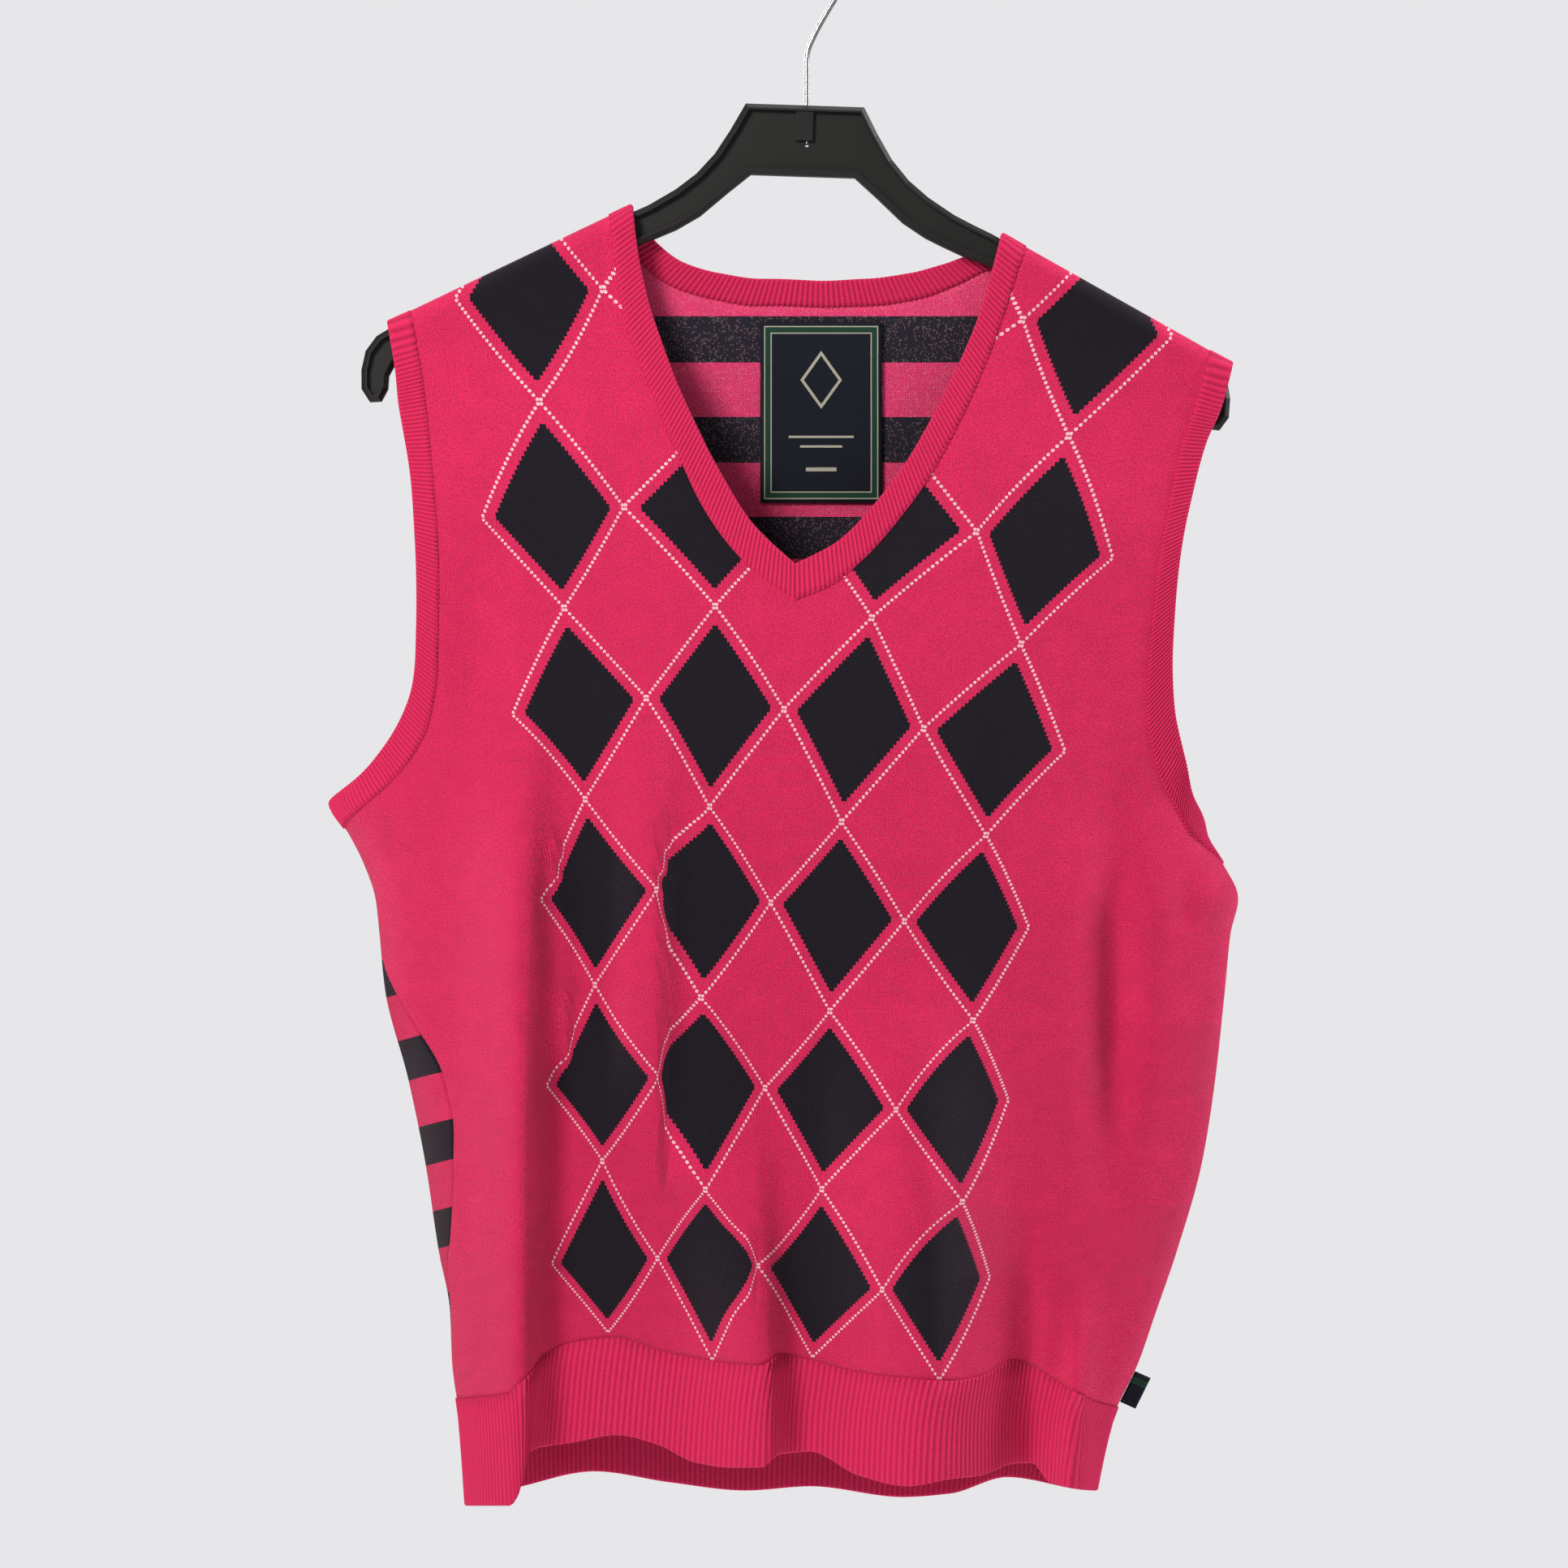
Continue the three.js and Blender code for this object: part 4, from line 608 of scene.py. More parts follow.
def front_half(name):
    """Chart grid of half the front, from its outer edge to the middle."""
    armhole, side_seam = armhole_curve(name, "seam", False), side_seam_curve(name, False)
    outer = edge_rows(armhole, side_seam, FRONT_ROWS["outer"], True)
    inner = edge_rows(neck_curve(name, "seam"), middle_curve(), FRONT_ROWS["inner"], True)
    s = np.linspace(0, 1, FRONT_COLUMNS + 1)
    across = s - FOLD_SQUEEZE * (1 - np.cos(2 * np.pi * s))
    top = mix(outer[0], inner[0], across[:, None])
    bottom = hem_chart(mix(outer[-1, 0], inner[-1, 0], across), "seam")
    outer[-1] = bottom[0]
    inner[-1] = bottom[-1]
    return patch(top, bottom, outer, inner, across)


def back_grid():
    """Chart grid of the back, from the right side seam round to the left one."""
    edges = [
        edge_rows(armhole_curve(name, "seam", True), side_seam_curve(name, True), BACK_ROWS, False)
        for name in ("right", "left")
    ]
    neck = resampled(back_neck_curve("seam"), np.linspace(0, 1, BACK_NECK_COLUMNS + 1))
    s = np.linspace(0, 1, BACK_SHOULDER_COLUMNS + 1)[:, None]
    top = np.vstack([mix(edges[0][0], neck[0], s), neck[1:], mix(neck[-1], edges[1][0], s)[1:]])
    across = np.linspace(0, 1, len(top))
    bottom = hem_chart(mix(edges[0][-1, 0], edges[1][-1, 0], across), "seam")
    edges[0][-1] = bottom[0]
    edges[1][-1] = bottom[-1]
    return patch(top, bottom, edges[0], edges[1], across)


def grid_quads(ids):
    """Quads between the rows and columns of a grid of vertex numbers."""
    corners = [ids[:-1, :-1], ids[1:, :-1], ids[1:, 1:], ids[:-1, 1:]]
    return np.stack([c.ravel() for c in corners], axis=-1)


def add_attribute(mesh, name, kind, values):
    """Gives each vertex of a mesh a value or a vector that its material or its nodes read."""
    field = {"FLOAT": "value", "FLOAT_VECTOR": "vector"}[kind]
    attribute = mesh.attributes.new(name, kind, "POINT")
    attribute.data.foreach_set(field, values.astype(np.float32).ravel())


def mesh_object(name, vertices, faces):
    """A smooth mesh in the scene, from vertices in metres."""
    mesh = bpy.data.meshes.new(name)
    mesh.from_pydata(vertices.tolist(), [], [face.tolist() for face in faces])
    mesh.shade_smooth()
    mesh.update()
    made = bpy.data.objects.new(name, mesh)
    bpy.context.scene.collection.objects.link(made)
    return made


def shell(name, points, normals, quads, outward, inward, cloth, rib=None):
    """A closed wall round a sheet: its outer and inner faces lie off its middle points by the two distances,
    cloth gives each point's place in the flat cloth, and rib is 1 on a rib's crest and 0 in its groove."""
    count = len(points)
    outward = np.broadcast_to(outward, count)[:, None]
    inward = np.broadcast_to(inward, count)[:, None]
    vertices = np.vstack([points + normals * outward, points - normals * inward])
    edges = np.vstack([quads[:, [i, (i + 1) % 4]] for i in range(4)])
    codes = edges[:, 0].astype(np.int64) * count + edges[:, 1]
    back = edges[:, 1].astype(np.int64) * count + edges[:, 0]
    rim = edges[~np.isin(back, codes)]
    rim_quads = np.stack([rim[:, 1], rim[:, 0], rim[:, 0] + count, rim[:, 1] + count], axis=-1)
    faces = np.vstack([quads, quads[:, ::-1] + count, rim_quads])
    sides = np.concatenate([np.ones(count), np.zeros(count)])
    made = mesh_object(name, vertices * MM, faces)
    add_attribute(made.data, "cloth", "FLOAT_VECTOR", np.column_stack([np.tile(cloth, (2, 1)), sides]))
    if rib is not None:
        add_attribute(made.data, "rib", "FLOAT", np.concatenate([rib, 1 - rib]))
    return made


# Corners of the argyle's cells on the front: flat place across and down the cloth, and where it is seen
LATTICE = {
    0: ((-144, -184, -198), (-72, -107, -193), (72, 113, -209), (144, 191, -218)),
    50: ((-108, -140, -252), (108, 137, -270)),
    100: ((-144, -170, -313), (-72, -96, -307), (72, 89, -320), (144, 160, -334)),
    150: ((-108, -127, -360), (-36, -48, -359), (36, 34, -365), (108, 112, -379)),
    200: ((-144, -154, -416), (-72, -84, -407), (0, -12, -413), (72, 61, -423), (144, 135, -435)),
    250: ((-108, -116, -460), (-36, -51, -464), (36, 18, -472), (108, 94, -479)),
    300: ((-144, -140, -513), (-72, -78, -507), (0, -19, -514), (72, 51, -524), (144, 116, -527)),
    350: ((-108, -111, -557), (-36, -55, -564), (36, 12, -571), (108, 87, -576)),
    400: ((-144, -137, -610), (-72, -77, -605), (0, -22, -611), (72, 47, -623), (144, 105, -617)),
    450: ((-108, -107, -649), (-36, -53, -665), (36, 8, -664), (108, 81, -671)),
    500: ((-144, -134, -703), (-72, -78, -700), (0, -26, -704), (72, 40, -717), (144, 95, -710)),
    550: ((-108, -104, -739), (-36, -49, -754), (36, 3, -752), (108, 69, -764)),
}


# Cloth hidden behind a fold's edge: from the edge's top place to its low one, the flat place that shows at
# the edge, the side of the edge it shows on (1 right, -1 left), and how far off the pattern is back in place.
# The hidden cloth is squeezed into the soft width, and each tuck comes and goes over the end length.
TUCKS = table(
    "topX topZ lowX lowZ shown side fade",
    (-75.5, -466, -75.5, -661, -54, 1, 24),
    (-130, -478, -130, -506, -138, -1, 14),
    (-124, -558, -124, -598, -135, -1, 15),
    (-28.3, -684, -28.3, -726, -9.5, -1, 24),
)
TUCK_SOFT = 4
TUCK_END = 14


def along_line(at, keys, values):
    """Straight stretches between points, carried on past both ends."""
    i = np.clip(np.searchsorted(keys, at) - 1, 0, len(keys) - 2)
    return values[i] + (at - keys[i]) * (values[i + 1] - values[i]) / (keys[i + 1] - keys[i])


def argyle_place(x, z):
    """Flat place across and down the front, from the corners of the argyle's cells."""
    downs = np.array(list(LATTICE), float)
    rows = [np.array(row, float).T for row in LATTICE.values()]
    heights = np.stack([np.interp(x, seen, high) for _, seen, high in rows])
    across = np.stack([along_line(x, seen, flat) for flat, seen, _ in rows])
    below = np.clip((heights > z).sum(axis=0) - 1, 0, len(downs) - 2)
    pick = tuple(np.indices(x.shape))
    top, low = heights[(below, *pick)], heights[(below + 1, *pick)]
    share = (top - z) / (top - low)
    down = downs[below] + share * (downs[1] - downs[0])
    return mix(across[(below, *pick)], across[(below + 1, *pick)], share), down


def front_cloth(turn, way):
    """Flat place across and down the front, without the cloth that folds hide."""
    x, z = seen_place(turn, way)
    flat, down = argyle_place(x, z)
    for tuck in rows_of(TUCKS):
        length = tuck["topZ"] - tuck["lowZ"]
        along = (tuck["topZ"] - z) / length
        edge = mix(tuck["topX"], tuck["lowX"], np.clip(along, 0, 1))
        off = (x - edge) * tuck["side"]
        far = argyle_place(edge + tuck["side"] * tuck["fade"], z)[0]
        shown = mix(tuck["shown"], far, np.clip(off / tuck["fade"], 0, 1))
        end = ease(along * length / TUCK_END + 0.5) * ease((1 - along) * length / TUCK_END + 0.5)
        there = end * ease(off / TUCK_SOFT + 0.5) * (off < tuck["fade"])
        flat = mix(flat, shown, there)
    return np.stack([flat, down], axis=-1)


# Tops of the back's navy stripes, as heights seen from the front
STRIPE_TOPS = np.array([-207, -259.7, -312, -360, -407.6, -454, -500, -544.4, -586.5, -631.6, -675.8, -718])
STRIPE_PERIOD = 48
# Round the left side the stripes climb towards the front: how steeply, how far, and between which heights
SIDE_CLIMB = 0.27
CLIMB_REACH = 30
CLIMB_TOP = -400
CLIMB_LOW = -480


def back_cloth(turn, way):
    """Flat place across and down the back, from its stripes."""
    places = cloth_point(turn, way)
    steps = np.linalg.norm(np.diff(places, axis=1), axis=2)
    across = np.concatenate([np.zeros((len(places), 1)), np.cumsum(steps, axis=1)], axis=1)
    middle = across.shape[1] // 2
    across -= across[:, middle : middle + 1]
    x, height = seen_place(turn, way)
    from_side = (x - body_centre(height) + body_half(height)) * np.sign(turn - 3 * HALF_PI)
    climb = SIDE_CLIMB * CLIMB_REACH * np.tanh(from_side / CLIMB_REACH)
    height = height - climb * ease((CLIMB_TOP - height) / (CLIMB_TOP - CLIMB_LOW))
    flat = np.arange(len(STRIPE_TOPS)) * STRIPE_PERIOD
    return np.stack([across, along_line(-height, -STRIPE_TOPS, flat)], axis=-1)


def front_panel():
    """The front: two halves that share their middle edge below the point of the V."""
    left = front_half("left")
    right = front_half("right")[:, ::-1]
    joined_from = CREST_ROWS + FRONT_ROWS["inner"][0]
    left_ids = grid_ids(left)
    right_ids = left_ids.size + grid_ids(right)
    right_ids[joined_from:, 0] = left_ids[joined_from:, -1]
    chart = np.vstack([left.reshape(-1, 2), right.reshape(-1, 2)])
    quads = np.vstack([grid_quads(left_ids), grid_quads(right_ids)])
    used = np.unique(quads)
    renumbered = np.zeros(len(chart), int)
    renumbered[used] = np.arange(len(used))
    turn, way = chart[used].T
    points, normals = cloth_point(turn, way), cloth_normal(turn, way)
    return shell("front", points, normals, renumbered[quads], WALL / 2, WALL / 2, front_cloth(turn, way))


def back_panel():
    """The back, in one grid."""
    chart = back_grid()
    turn, way = chart[..., 0], chart[..., 1]
    cloth = back_cloth(turn, way).reshape(-1, 2)
    points = cloth_point(turn, way).reshape(-1, 3)
    normals = cloth_normal(turn, way).reshape(-1, 3)
    return shell("back", points, normals, grid_quads(grid_ids(chart)), WALL / 2, WALL / 2, cloth)


# Places across a band: millimetres from its free edge, where its corner is rounded, and shares further in
EDGE_ROUND = np.array([1.3, 0.7, 0.3, 0.08, 0.0])
BAND_SHARES = np.array([0.0, 0.2, 0.4, 0.6, 0.8])
CLEAR_OF_ROUND = 2
BAND_OVERLAP = 0.8
# Steps of each rib, how flat its crest is, and the least share of the wall that is left at the free edge
RIB_SAMPLES = 6
RIB_FLATNESS = 0.7
EDGE_LEAST = 0.12
HEM_POINTS = 240


def band_stretch(seam, edge, pitch, along):
    """One stretch of a band, from its seam's and free edge's chart curves: its chart grid, each point's flat
    place, and how near each row is to the crest of a rib."""
    ribs = max(round(curve_length(seam) / pitch), 1)
    stations = np.linspace(0, 1, ribs * RIB_SAMPLES + 1)
    seam_chart = resampled(seam, stations)
    edge_chart = resampled(edge, stations)
    gap = cloth_point(*seam_chart.T) - cloth_point(*edge_chart.T)
    width = np.linalg.norm(gap, axis=1)[:, None]
    overlap = -BAND_OVERLAP / width
    shares = np.hstack([overlap + BAND_SHARES * (1 - overlap), 1 - EDGE_ROUND / width])
    inner = shares[:, 1 : len(BAND_SHARES)]
    np.minimum(inner, 1 - CLEAR_OF_ROUND / width, out=inner)
    chart = mix(seam_chart[:, None], edge_chart[:, None], shares[..., None])
    place = np.broadcast_to(along + stations[:, None] * ribs * pitch, shares.shape)
    flat = np.stack([place, shares * width], axis=-1)
    return chart, flat, np.sin(np.pi * stations * ribs) ** 2


def band_grid(stretches, pitch):
    """A band's stretches joined from end to end."""
    made = []
    along = 0.0
    for seam, edge in stretches:
        chart, flat, crest = band_stretch(seam, edge, pitch, along)
        first = 1 if made else 0
        made.append((chart[first:], flat[first:], crest[first:]))
        along = flat[-1, 0, 0]
    return [np.concatenate(parts) for parts in zip(*made, strict=True)]


def faced_out(quads, points, normals):
    """Quads, turned round if they face against the normals."""
    across = points[quads[:, 1]] - points[quads[:, 0]]
    down = points[quads[:, 3]] - points[quads[:, 0]]
    facing = np.einsum("ij,ij->i", np.cross(across, down), normals[quads[:, 0]])
    return quads[:, ::-1] if np.median(facing) < 0 else quads


def band(name, stretches, pitch, closed=False):
    """A ribbed band between the chart curves of its seam and of its free edge, given in stretches from end to
    end. The ribs stand up on its outer side, and both sides are rounded towards the free edge."""
    chart, flat, crest = band_grid(stretches, pitch)
    crest = crest**RIB_FLATNESS
    depth = np.concatenate([np.full(len(BAND_SHARES), EDGE_ROUND[0]), EDGE_ROUND])
    rounding = np.sqrt(1 - (1 - depth / EDGE_ROUND[0]) ** 2).clip(EDGE_LEAST)
    outward = (RIB_WALL / 2 + RIB_RISE * crest)[:, None] * rounding
    inward = (RIB_WALL / 2 + RIB_RISE * (1 - crest))[:, None] * rounding
    rib = np.broadcast_to(crest[:, None], outward.shape)
    ids = grid_ids(chart)
    used = slice(ids.size)
    if closed:
        ids[-1] = ids[0]
        used = slice(ids[:-1].size)
    points = cloth_point(chart[..., 0], chart[..., 1]).reshape(-1, 3)
    normals = cloth_normal(chart[..., 0], chart[..., 1]).reshape(-1, 3)
    quads = faced_out(grid_quads(ids), points, normals)
    walls = outward.ravel()[used], inward.ravel()[used]
    place = flat.reshape(-1, 2)[used]
    return shell(name, points[used], normals[used], quads, *walls, place, rib.ravel()[used])


def hem_band(name, start, end):
    """The hem between two angles round the body."""
    turns = np.linspace(start, end, HEM_POINTS)
    return band(name, [(hem_chart(turns, "seam"), hem_chart(turns, "edge"))], HEM_RIB_PITCH)


def armhole_band(side):
    """A ring: down the front from the shoulder seam, round the underarm and up the back."""
    front = [armhole_curve(side, edge, False) for edge in ("seam", "edge")]
    back = [armhole_curve(side, edge, True)[::-1] for edge in ("seam", "edge")]
    if side == "left":
        for curve in back:
            curve[:, 0] -= 2 * np.pi
    return band("armhole_" + side, [front, back], ARMHOLE_RIB_PITCH, closed=True)


def neck_bands():
    """The V's two sides and the back neck."""
    made = {
        side: band("neck_" + side, [(neck_curve(side, "seam"), neck_curve(side, "edge"))], NECK_RIB_PITCH)
        for side in ("left", "right")
    }
    made["back"] = band("neck_back", [(back_neck_curve("seam"), back_neck_curve("edge"))], NECK_RIB_PITCH)
    return made


# The stitches that link the bands on, in millimetres: their pitch, half sizes and slant
STITCH_PITCH = 2.3
STITCH_SIZE = (1.25, 0.55, 0.45)
STITCH_LEAN = np.radians(24)


def stitch_group():
    """Geometry Nodes that set a bead of yarn at each point, turned along its attribute."""
    group = bpy.data.node_groups.new("linking_stitches", "GeometryNodeTree")
    sockets = {}
    for name, flow, kind in (
        ("Geometry", "INPUT", "NodeSocketGeometry"),
        ("Stitch size", "INPUT", "NodeSocketVector"),
        ("Yarn", "INPUT", "NodeSocketMaterial"),
        ("Geometry", "OUTPUT", "NodeSocketGeometry"),
    ):
        sockets[name, flow] = group.interface.new_socket(name, in_out=flow, socket_type=kind).identifier
    given = group.nodes.new("NodeGroupInput")
    bead = group.nodes.new("GeometryNodeMeshIcoSphere")
    along = group.nodes.new("GeometryNodeInputNamedAttribute")
    along.data_type = "FLOAT_VECTOR"
    along.inputs["Name"].default_value = "along"
    turned = group.nodes.new("FunctionNodeAlignRotationToVector")
    turned.axis = "X"
    set_out = group.nodes.new("GeometryNodeInstanceOnPoints")
    real = group.nodes.new("GeometryNodeRealizeInstances")
    dressed = group.nodes.new("GeometryNodeSetMaterial")
    made = group.nodes.new("NodeGroupOutput")
    for start, end in (
        (given.outputs["Geometry"], set_out.inputs["Points"]),
        (bead.outputs["Mesh"], set_out.inputs["Instance"]),
        (along.outputs["Attribute"], turned.inputs["Vector"]),
        (turned.outputs["Rotation"], set_out.inputs["Rotation"]),
        (given.outputs["Stitch size"], set_out.inputs["Scale"]),
        (set_out.outputs["Instances"], real.inputs["Geometry"]),
        (real.outputs["Geometry"], dressed.inputs["Geometry"]),
        (given.outputs["Yarn"], dressed.inputs["Material"]),
        (dressed.outputs["Geometry"], made.inputs["Geometry"]),
    ):
        group.links.new(start, end)
    return group, sockets


def linking_stitches(name, curves, material):
    """A row of slanted stitches on the seams where bands are linked to the panels."""
    points, along = [], []
    for curve in curves:
        chart = resampled(curve, np.linspace(0, 1, round(curve_length(curve) / STITCH_PITCH)))
        normals = cloth_normal(*chart.T)
        row = cloth_point(*chart.T) + normals * WALL / 2
        way = np.gradient(row, axis=0)
        way /= np.linalg.norm(way, axis=1, keepdims=True)
        points.append(row)
        along.append(way * np.cos(STITCH_LEAN) + np.cross(normals, way) * np.sin(STITCH_LEAN))
    made = mesh_object(name, np.vstack(points) * MM, [])
    add_attribute(made.data, "along", "FLOAT_VECTOR", np.vstack(along))
    group, sockets = stitch_group()
    modifier = made.modifiers.new("stitches", "NODES")
    modifier.node_group = group
    modifier[sockets["Stitch size", "INPUT"]] = [size * MM for size in STITCH_SIZE]
    modifier[sockets["Yarn", "INPUT"]] = material
    bpy.context.view_layer.update()
    graph = bpy.context.evaluated_depsgraph_get()
    mesh = bpy.data.meshes.new_from_object(made.evaluated_get(graph), depsgraph=graph)
    made.modifiers.clear()
    made.data = mesh
    mesh.shade_smooth()
    return made


LABEL = {"left": -24.4, "right": 39.3, "top": -210, "bottom": -304.5}
LABEL_WALL = 0.9
LABEL_GAP = 1.05
LABEL_COLUMNS = 40
LABEL_ROWS = 56


def neck_label():
    """A thin woven sheet that follows the inside of the back."""
    across = np.linspace(0, 1, LABEL_COLUMNS)
    down = np.linspace(0, 1, LABEL_ROWS)
    x = np.broadcast_to(mix(LABEL["right"], LABEL["left"], across), (len(down), len(across)))
    z = np.broadcast_to(mix(LABEL["top"], LABEL["bottom"], down)[:, None], x.shape)
    grid = back_chart(x, z)
    chart = grid.reshape(-1, 2)
    normals = cloth_normal(*chart.T)
    lift = WALL / 2 + LABEL_WALL / 2 + LABEL_GAP
    points = cloth_point(*chart.T) - normals * lift
    flat = np.stack([x - (LABEL["left"] + LABEL["right"]) / 2, z - LABEL["top"]], axis=-1).reshape(-1, 2)
    return shell("label", points, normals, grid_quads(grid_ids(grid)), LABEL_WALL / 2, LABEL_WALL / 2, flat)


TAG = {"top": -759, "low": -775, "length": 9, "wall": 1.1, "gap": 0.35, "lean": np.radians(17)}
TAG_COLUMNS = 6
TAG_ROWS = 8


def side_tag():
    """A small folded tag that stands out of the right side seam."""
    z = np.array([TAG["top"], TAG["low"]], float)
    chart = side_chart(side_seam_turn("right", z), z)
    ends = cloth_point(*chart.T)
    normals = cloth_normal(*chart.T)
    axis = (ends[0] - ends[1]) / np.linalg.norm(ends[0] - ends[1])
    turned = normals * np.cos(TAG["lean"]) + np.cross(axis, normals) * np.sin(TAG["lean"])
    reach = WALL / 2 + TAG["gap"] + np.linspace(0, TAG["length"], TAG_COLUMNS)
    s = np.linspace(0, 1, TAG_ROWS)[:, None]
    rows = mix(ends[0], ends[1], s)
    out = mix(turned[0], turned[1], s)
    points = rows[:, None] + out[:, None] * reach[None, :, None]
    faces = np.cross(out, axis)
    flat = np.stack(np.broadcast_arrays(reach, s * (TAG["low"] - TAG["top"])), axis=-1).reshape(-1, 2)
    spread = np.repeat(faces, len(reach), axis=0)
    half = TAG["wall"] / 2
    return shell("tag", points.reshape(-1, 3), spread, grid_quads(grid_ids(points)), half, half, flat)


# Colours, as seen in daylight
PINK = "#DA2A5C"
LINKING_DARK = "#A81C48"
PINK_INSIDE = "#F0467B"
NAVY = "#1B1821"
NAVY_INSIDE = "#2B2833"
PALE = "#F9C9D0"
LABEL_NAVY = "#161923"
LABEL_GREEN = "#1D3B2D"
LABEL_LINE = "#B9B7A6"
HANGER_BLACK = "#131312"
STEEL = "#C4C6C8"
STUDIO = "#E9E8EB"


def colour(text):
    """A linear colour from an sRGB one in hex."""
    values = [int(text[i : i + 2], 16) / 255 for i in (1, 3, 5)]
    return [v / 12.92 if v <= 0.04045 else ((v + 0.055) / 1.055) ** 2.4 for v in values] + [1.0]


# Wool's dull surface, with the soft sheen of its loose fibres
WOOL = {
    "Roughness": 0.92,
    "Specular IOR Level": 0.12,
    "Sheen Weight": 0.08,
    "Sheen Roughness": 0.45,
    "Sheen Tint": colour("#FFD9E2"),
}


def add(tree, kind, inputs=(), out=0, **settings):
    """Adds a shader node with its settings, and sets or links its inputs. Gives one of its outputs."""
    node = tree.nodes.new("ShaderNode" + kind)
    for name, value in settings.items():
        setattr(node, name, value)
    pairs = inputs.items() if isinstance(inputs, dict) else enumerate(inputs)
    for key, value in pairs:
        if isinstance(value, bpy.types.NodeSocket):
            tree.links.new(value, node.inputs[key])
        else:
            node.inputs[key].default_value = value
    return node.outputs[out] if len(node.outputs) else None


def chain(tree, value, *steps):
    """A value worked on by one Math node after another, each given as its operation and what it takes."""
    for operation, *rest in steps:
        value = add(tree, "Math", [value, *rest], operation=operation)
    return value


# A Mix node for colours: inputs 0, 6 and 7 are the share, the first colour and the second
COLOURS = {"out": 2, "data_type": "RGBA"}


def shaded(tree, base, shade):
    """A colour made lighter or darker by a factor."""
    grey = add(tree, "CombineXYZ", [shade, shade, shade])
    return add(tree, "Mix", {0: 1.0, 6: base, 7: grey}, **COLOURS, blend_type="MULTIPLY")


def new_material(name):
    """An empty node material and its tree."""
    material = bpy.data.materials.new(name)
    material.use_nodes = True
    tree = material.node_tree
    tree.nodes.clear()
    return material, tree


def finish_material(tree, inputs):
    """Ends a tree with its shader and output."""
    shader = add(tree, "BsdfPrincipled", inputs)
    add(tree, "OutputMaterial", [shader])


def cloth_axes(tree):
    """Flat place across and down the cloth in millimetres, and 1 on its outer side."""
    place = add(tree, "Attribute", out=1, attribute_name="cloth")
    split = tree.nodes.new("ShaderNodeSeparateXYZ")
    tree.links.new(place, split.inputs[0])
    return place, *split.outputs


# The argyle's cells in millimetres, how far it goes from the middle, its last row's place in cells, and the
# share of a cell that is navy
CELL_ACROSS = 72
CELL_DOWN = 100
CELL_EDGE = 144
LAST_CELL = 5.5
LOZENGE_SHARE = 0.83
# The dotted diagonals: one dot each second course, its half sizes in stitches, and the half width of the line
# that the dots stand on, as a share of a cell
RAKER_STEP = 2.0 * COURSE
DOT_ACROSS = 0.56
DOT_DOWN = 0.40
RAKER_HALF = 0.021


def argyle(tree, u, v):
    """Navy lozenges and the dotted lines that cross between them: shares of navy and of pale yarn."""
    wale = chain(tree, u, ("DIVIDE", WALE))
    course = chain(tree, v, ("DIVIDE", RAKER_STEP))
    stitch_u = chain(tree, wale, ("FLOOR",), ("ADD", 0.5), ("MULTIPLY", WALE))
    stitch_v = chain(tree, course, ("FLOOR",), ("ADD", 0.5), ("MULTIPLY", RAKER_STEP))
    half_across, half_down = CELL_ACROSS / 2, CELL_DOWN / 2
    from_u = chain(tree, stitch_u, ("ADD", CELL_EDGE), ("FLOORED_MODULO", CELL_ACROSS))
    from_u = chain(tree, from_u, ("SUBTRACT", half_across), ("ABSOLUTE",))
    from_v = chain(tree, stitch_v, ("ADD", half_down), ("FLOORED_MODULO", CELL_DOWN))
    from_v = chain(tree, from_v, ("SUBTRACT", half_down), ("ABSOLUTE",))
    down_share = chain(tree, from_v, ("DIVIDE", half_down))
    reach = chain(tree, from_u, ("DIVIDE", half_across), ("ADD", down_share))
    inside = chain(tree, stitch_u, ("ABSOLUTE",), ("LESS_THAN", CELL_EDGE))
    for edge, test in ((-half_down, "GREATER_THAN"), (LAST_CELL * CELL_DOWN, "LESS_THAN")):
        inside = chain(tree, stitch_v, (test, edge), ("MULTIPLY", inside))
    navy = chain(tree, reach, ("LESS_THAN", LOZENGE_SHARE), ("MULTIPLY", inside))
    dots = []
    for place, half in ((wale, DOT_ACROSS), (course, DOT_DOWN)):
        dots.append(chain(tree, place, ("FRACT",), ("SUBTRACT", 0.5), ("DIVIDE", half), ("POWER", 2.0)))
    on_line = chain(tree, reach, ("COMPARE", 1.0, RAKER_HALF), ("MULTIPLY", inside))
    pale = chain(tree, dots[0], ("ADD", dots[1]), ("LESS_THAN", 1.0), ("MULTIPLY", on_line))
    return navy, pale


STRIPE_NAVY = 21.5


def stripes(tree, v):
    """Share of navy in the back's stripes, which end at a whole course."""
    course = chain(tree, v, ("DIVIDE", COURSE), ("FLOOR",), ("MULTIPLY", COURSE))
    return chain(tree, course, ("FLOORED_MODULO", STRIPE_PERIOD), ("LESS_THAN", STRIPE_NAVY))


# Shape of a jersey stitch: how far its legs and its courses stand out, and its legs' slant in courses
LEG_RISE = 0.5
COURSE_RISE = 0.35
LEG_SLANT = 0.9


def knit_height(tree, u, v):
    """Relief of jersey: two slanting legs to each stitch, side by side in upright wales."""
    leg = chain(tree, u, ("DIVIDE", WALE), ("FRACT",), ("SUBTRACT", 0.5), ("ABSOLUTE",))
    rise = chain(tree, leg, ("MULTIPLY", 4 * np.pi), ("COSINE",), ("MULTIPLY", -LEG_RISE))
    slant = chain(tree, leg, ("MULTIPLY", LEG_SLANT))
    turn = chain(tree, v, ("DIVIDE", COURSE), ("ADD", slant), ("MULTIPLY", 2 * np.pi))
    return chain(tree, turn, ("SINE",), ("MULTIPLY_ADD", COURSE_RISE, rise))


# Grains of the melange wool in millimetres: flecks of one stitch, patches of deeper yarn, and loose fibres
FLECK = 0.909
PATCH = 11.11
SPECK = 0.7
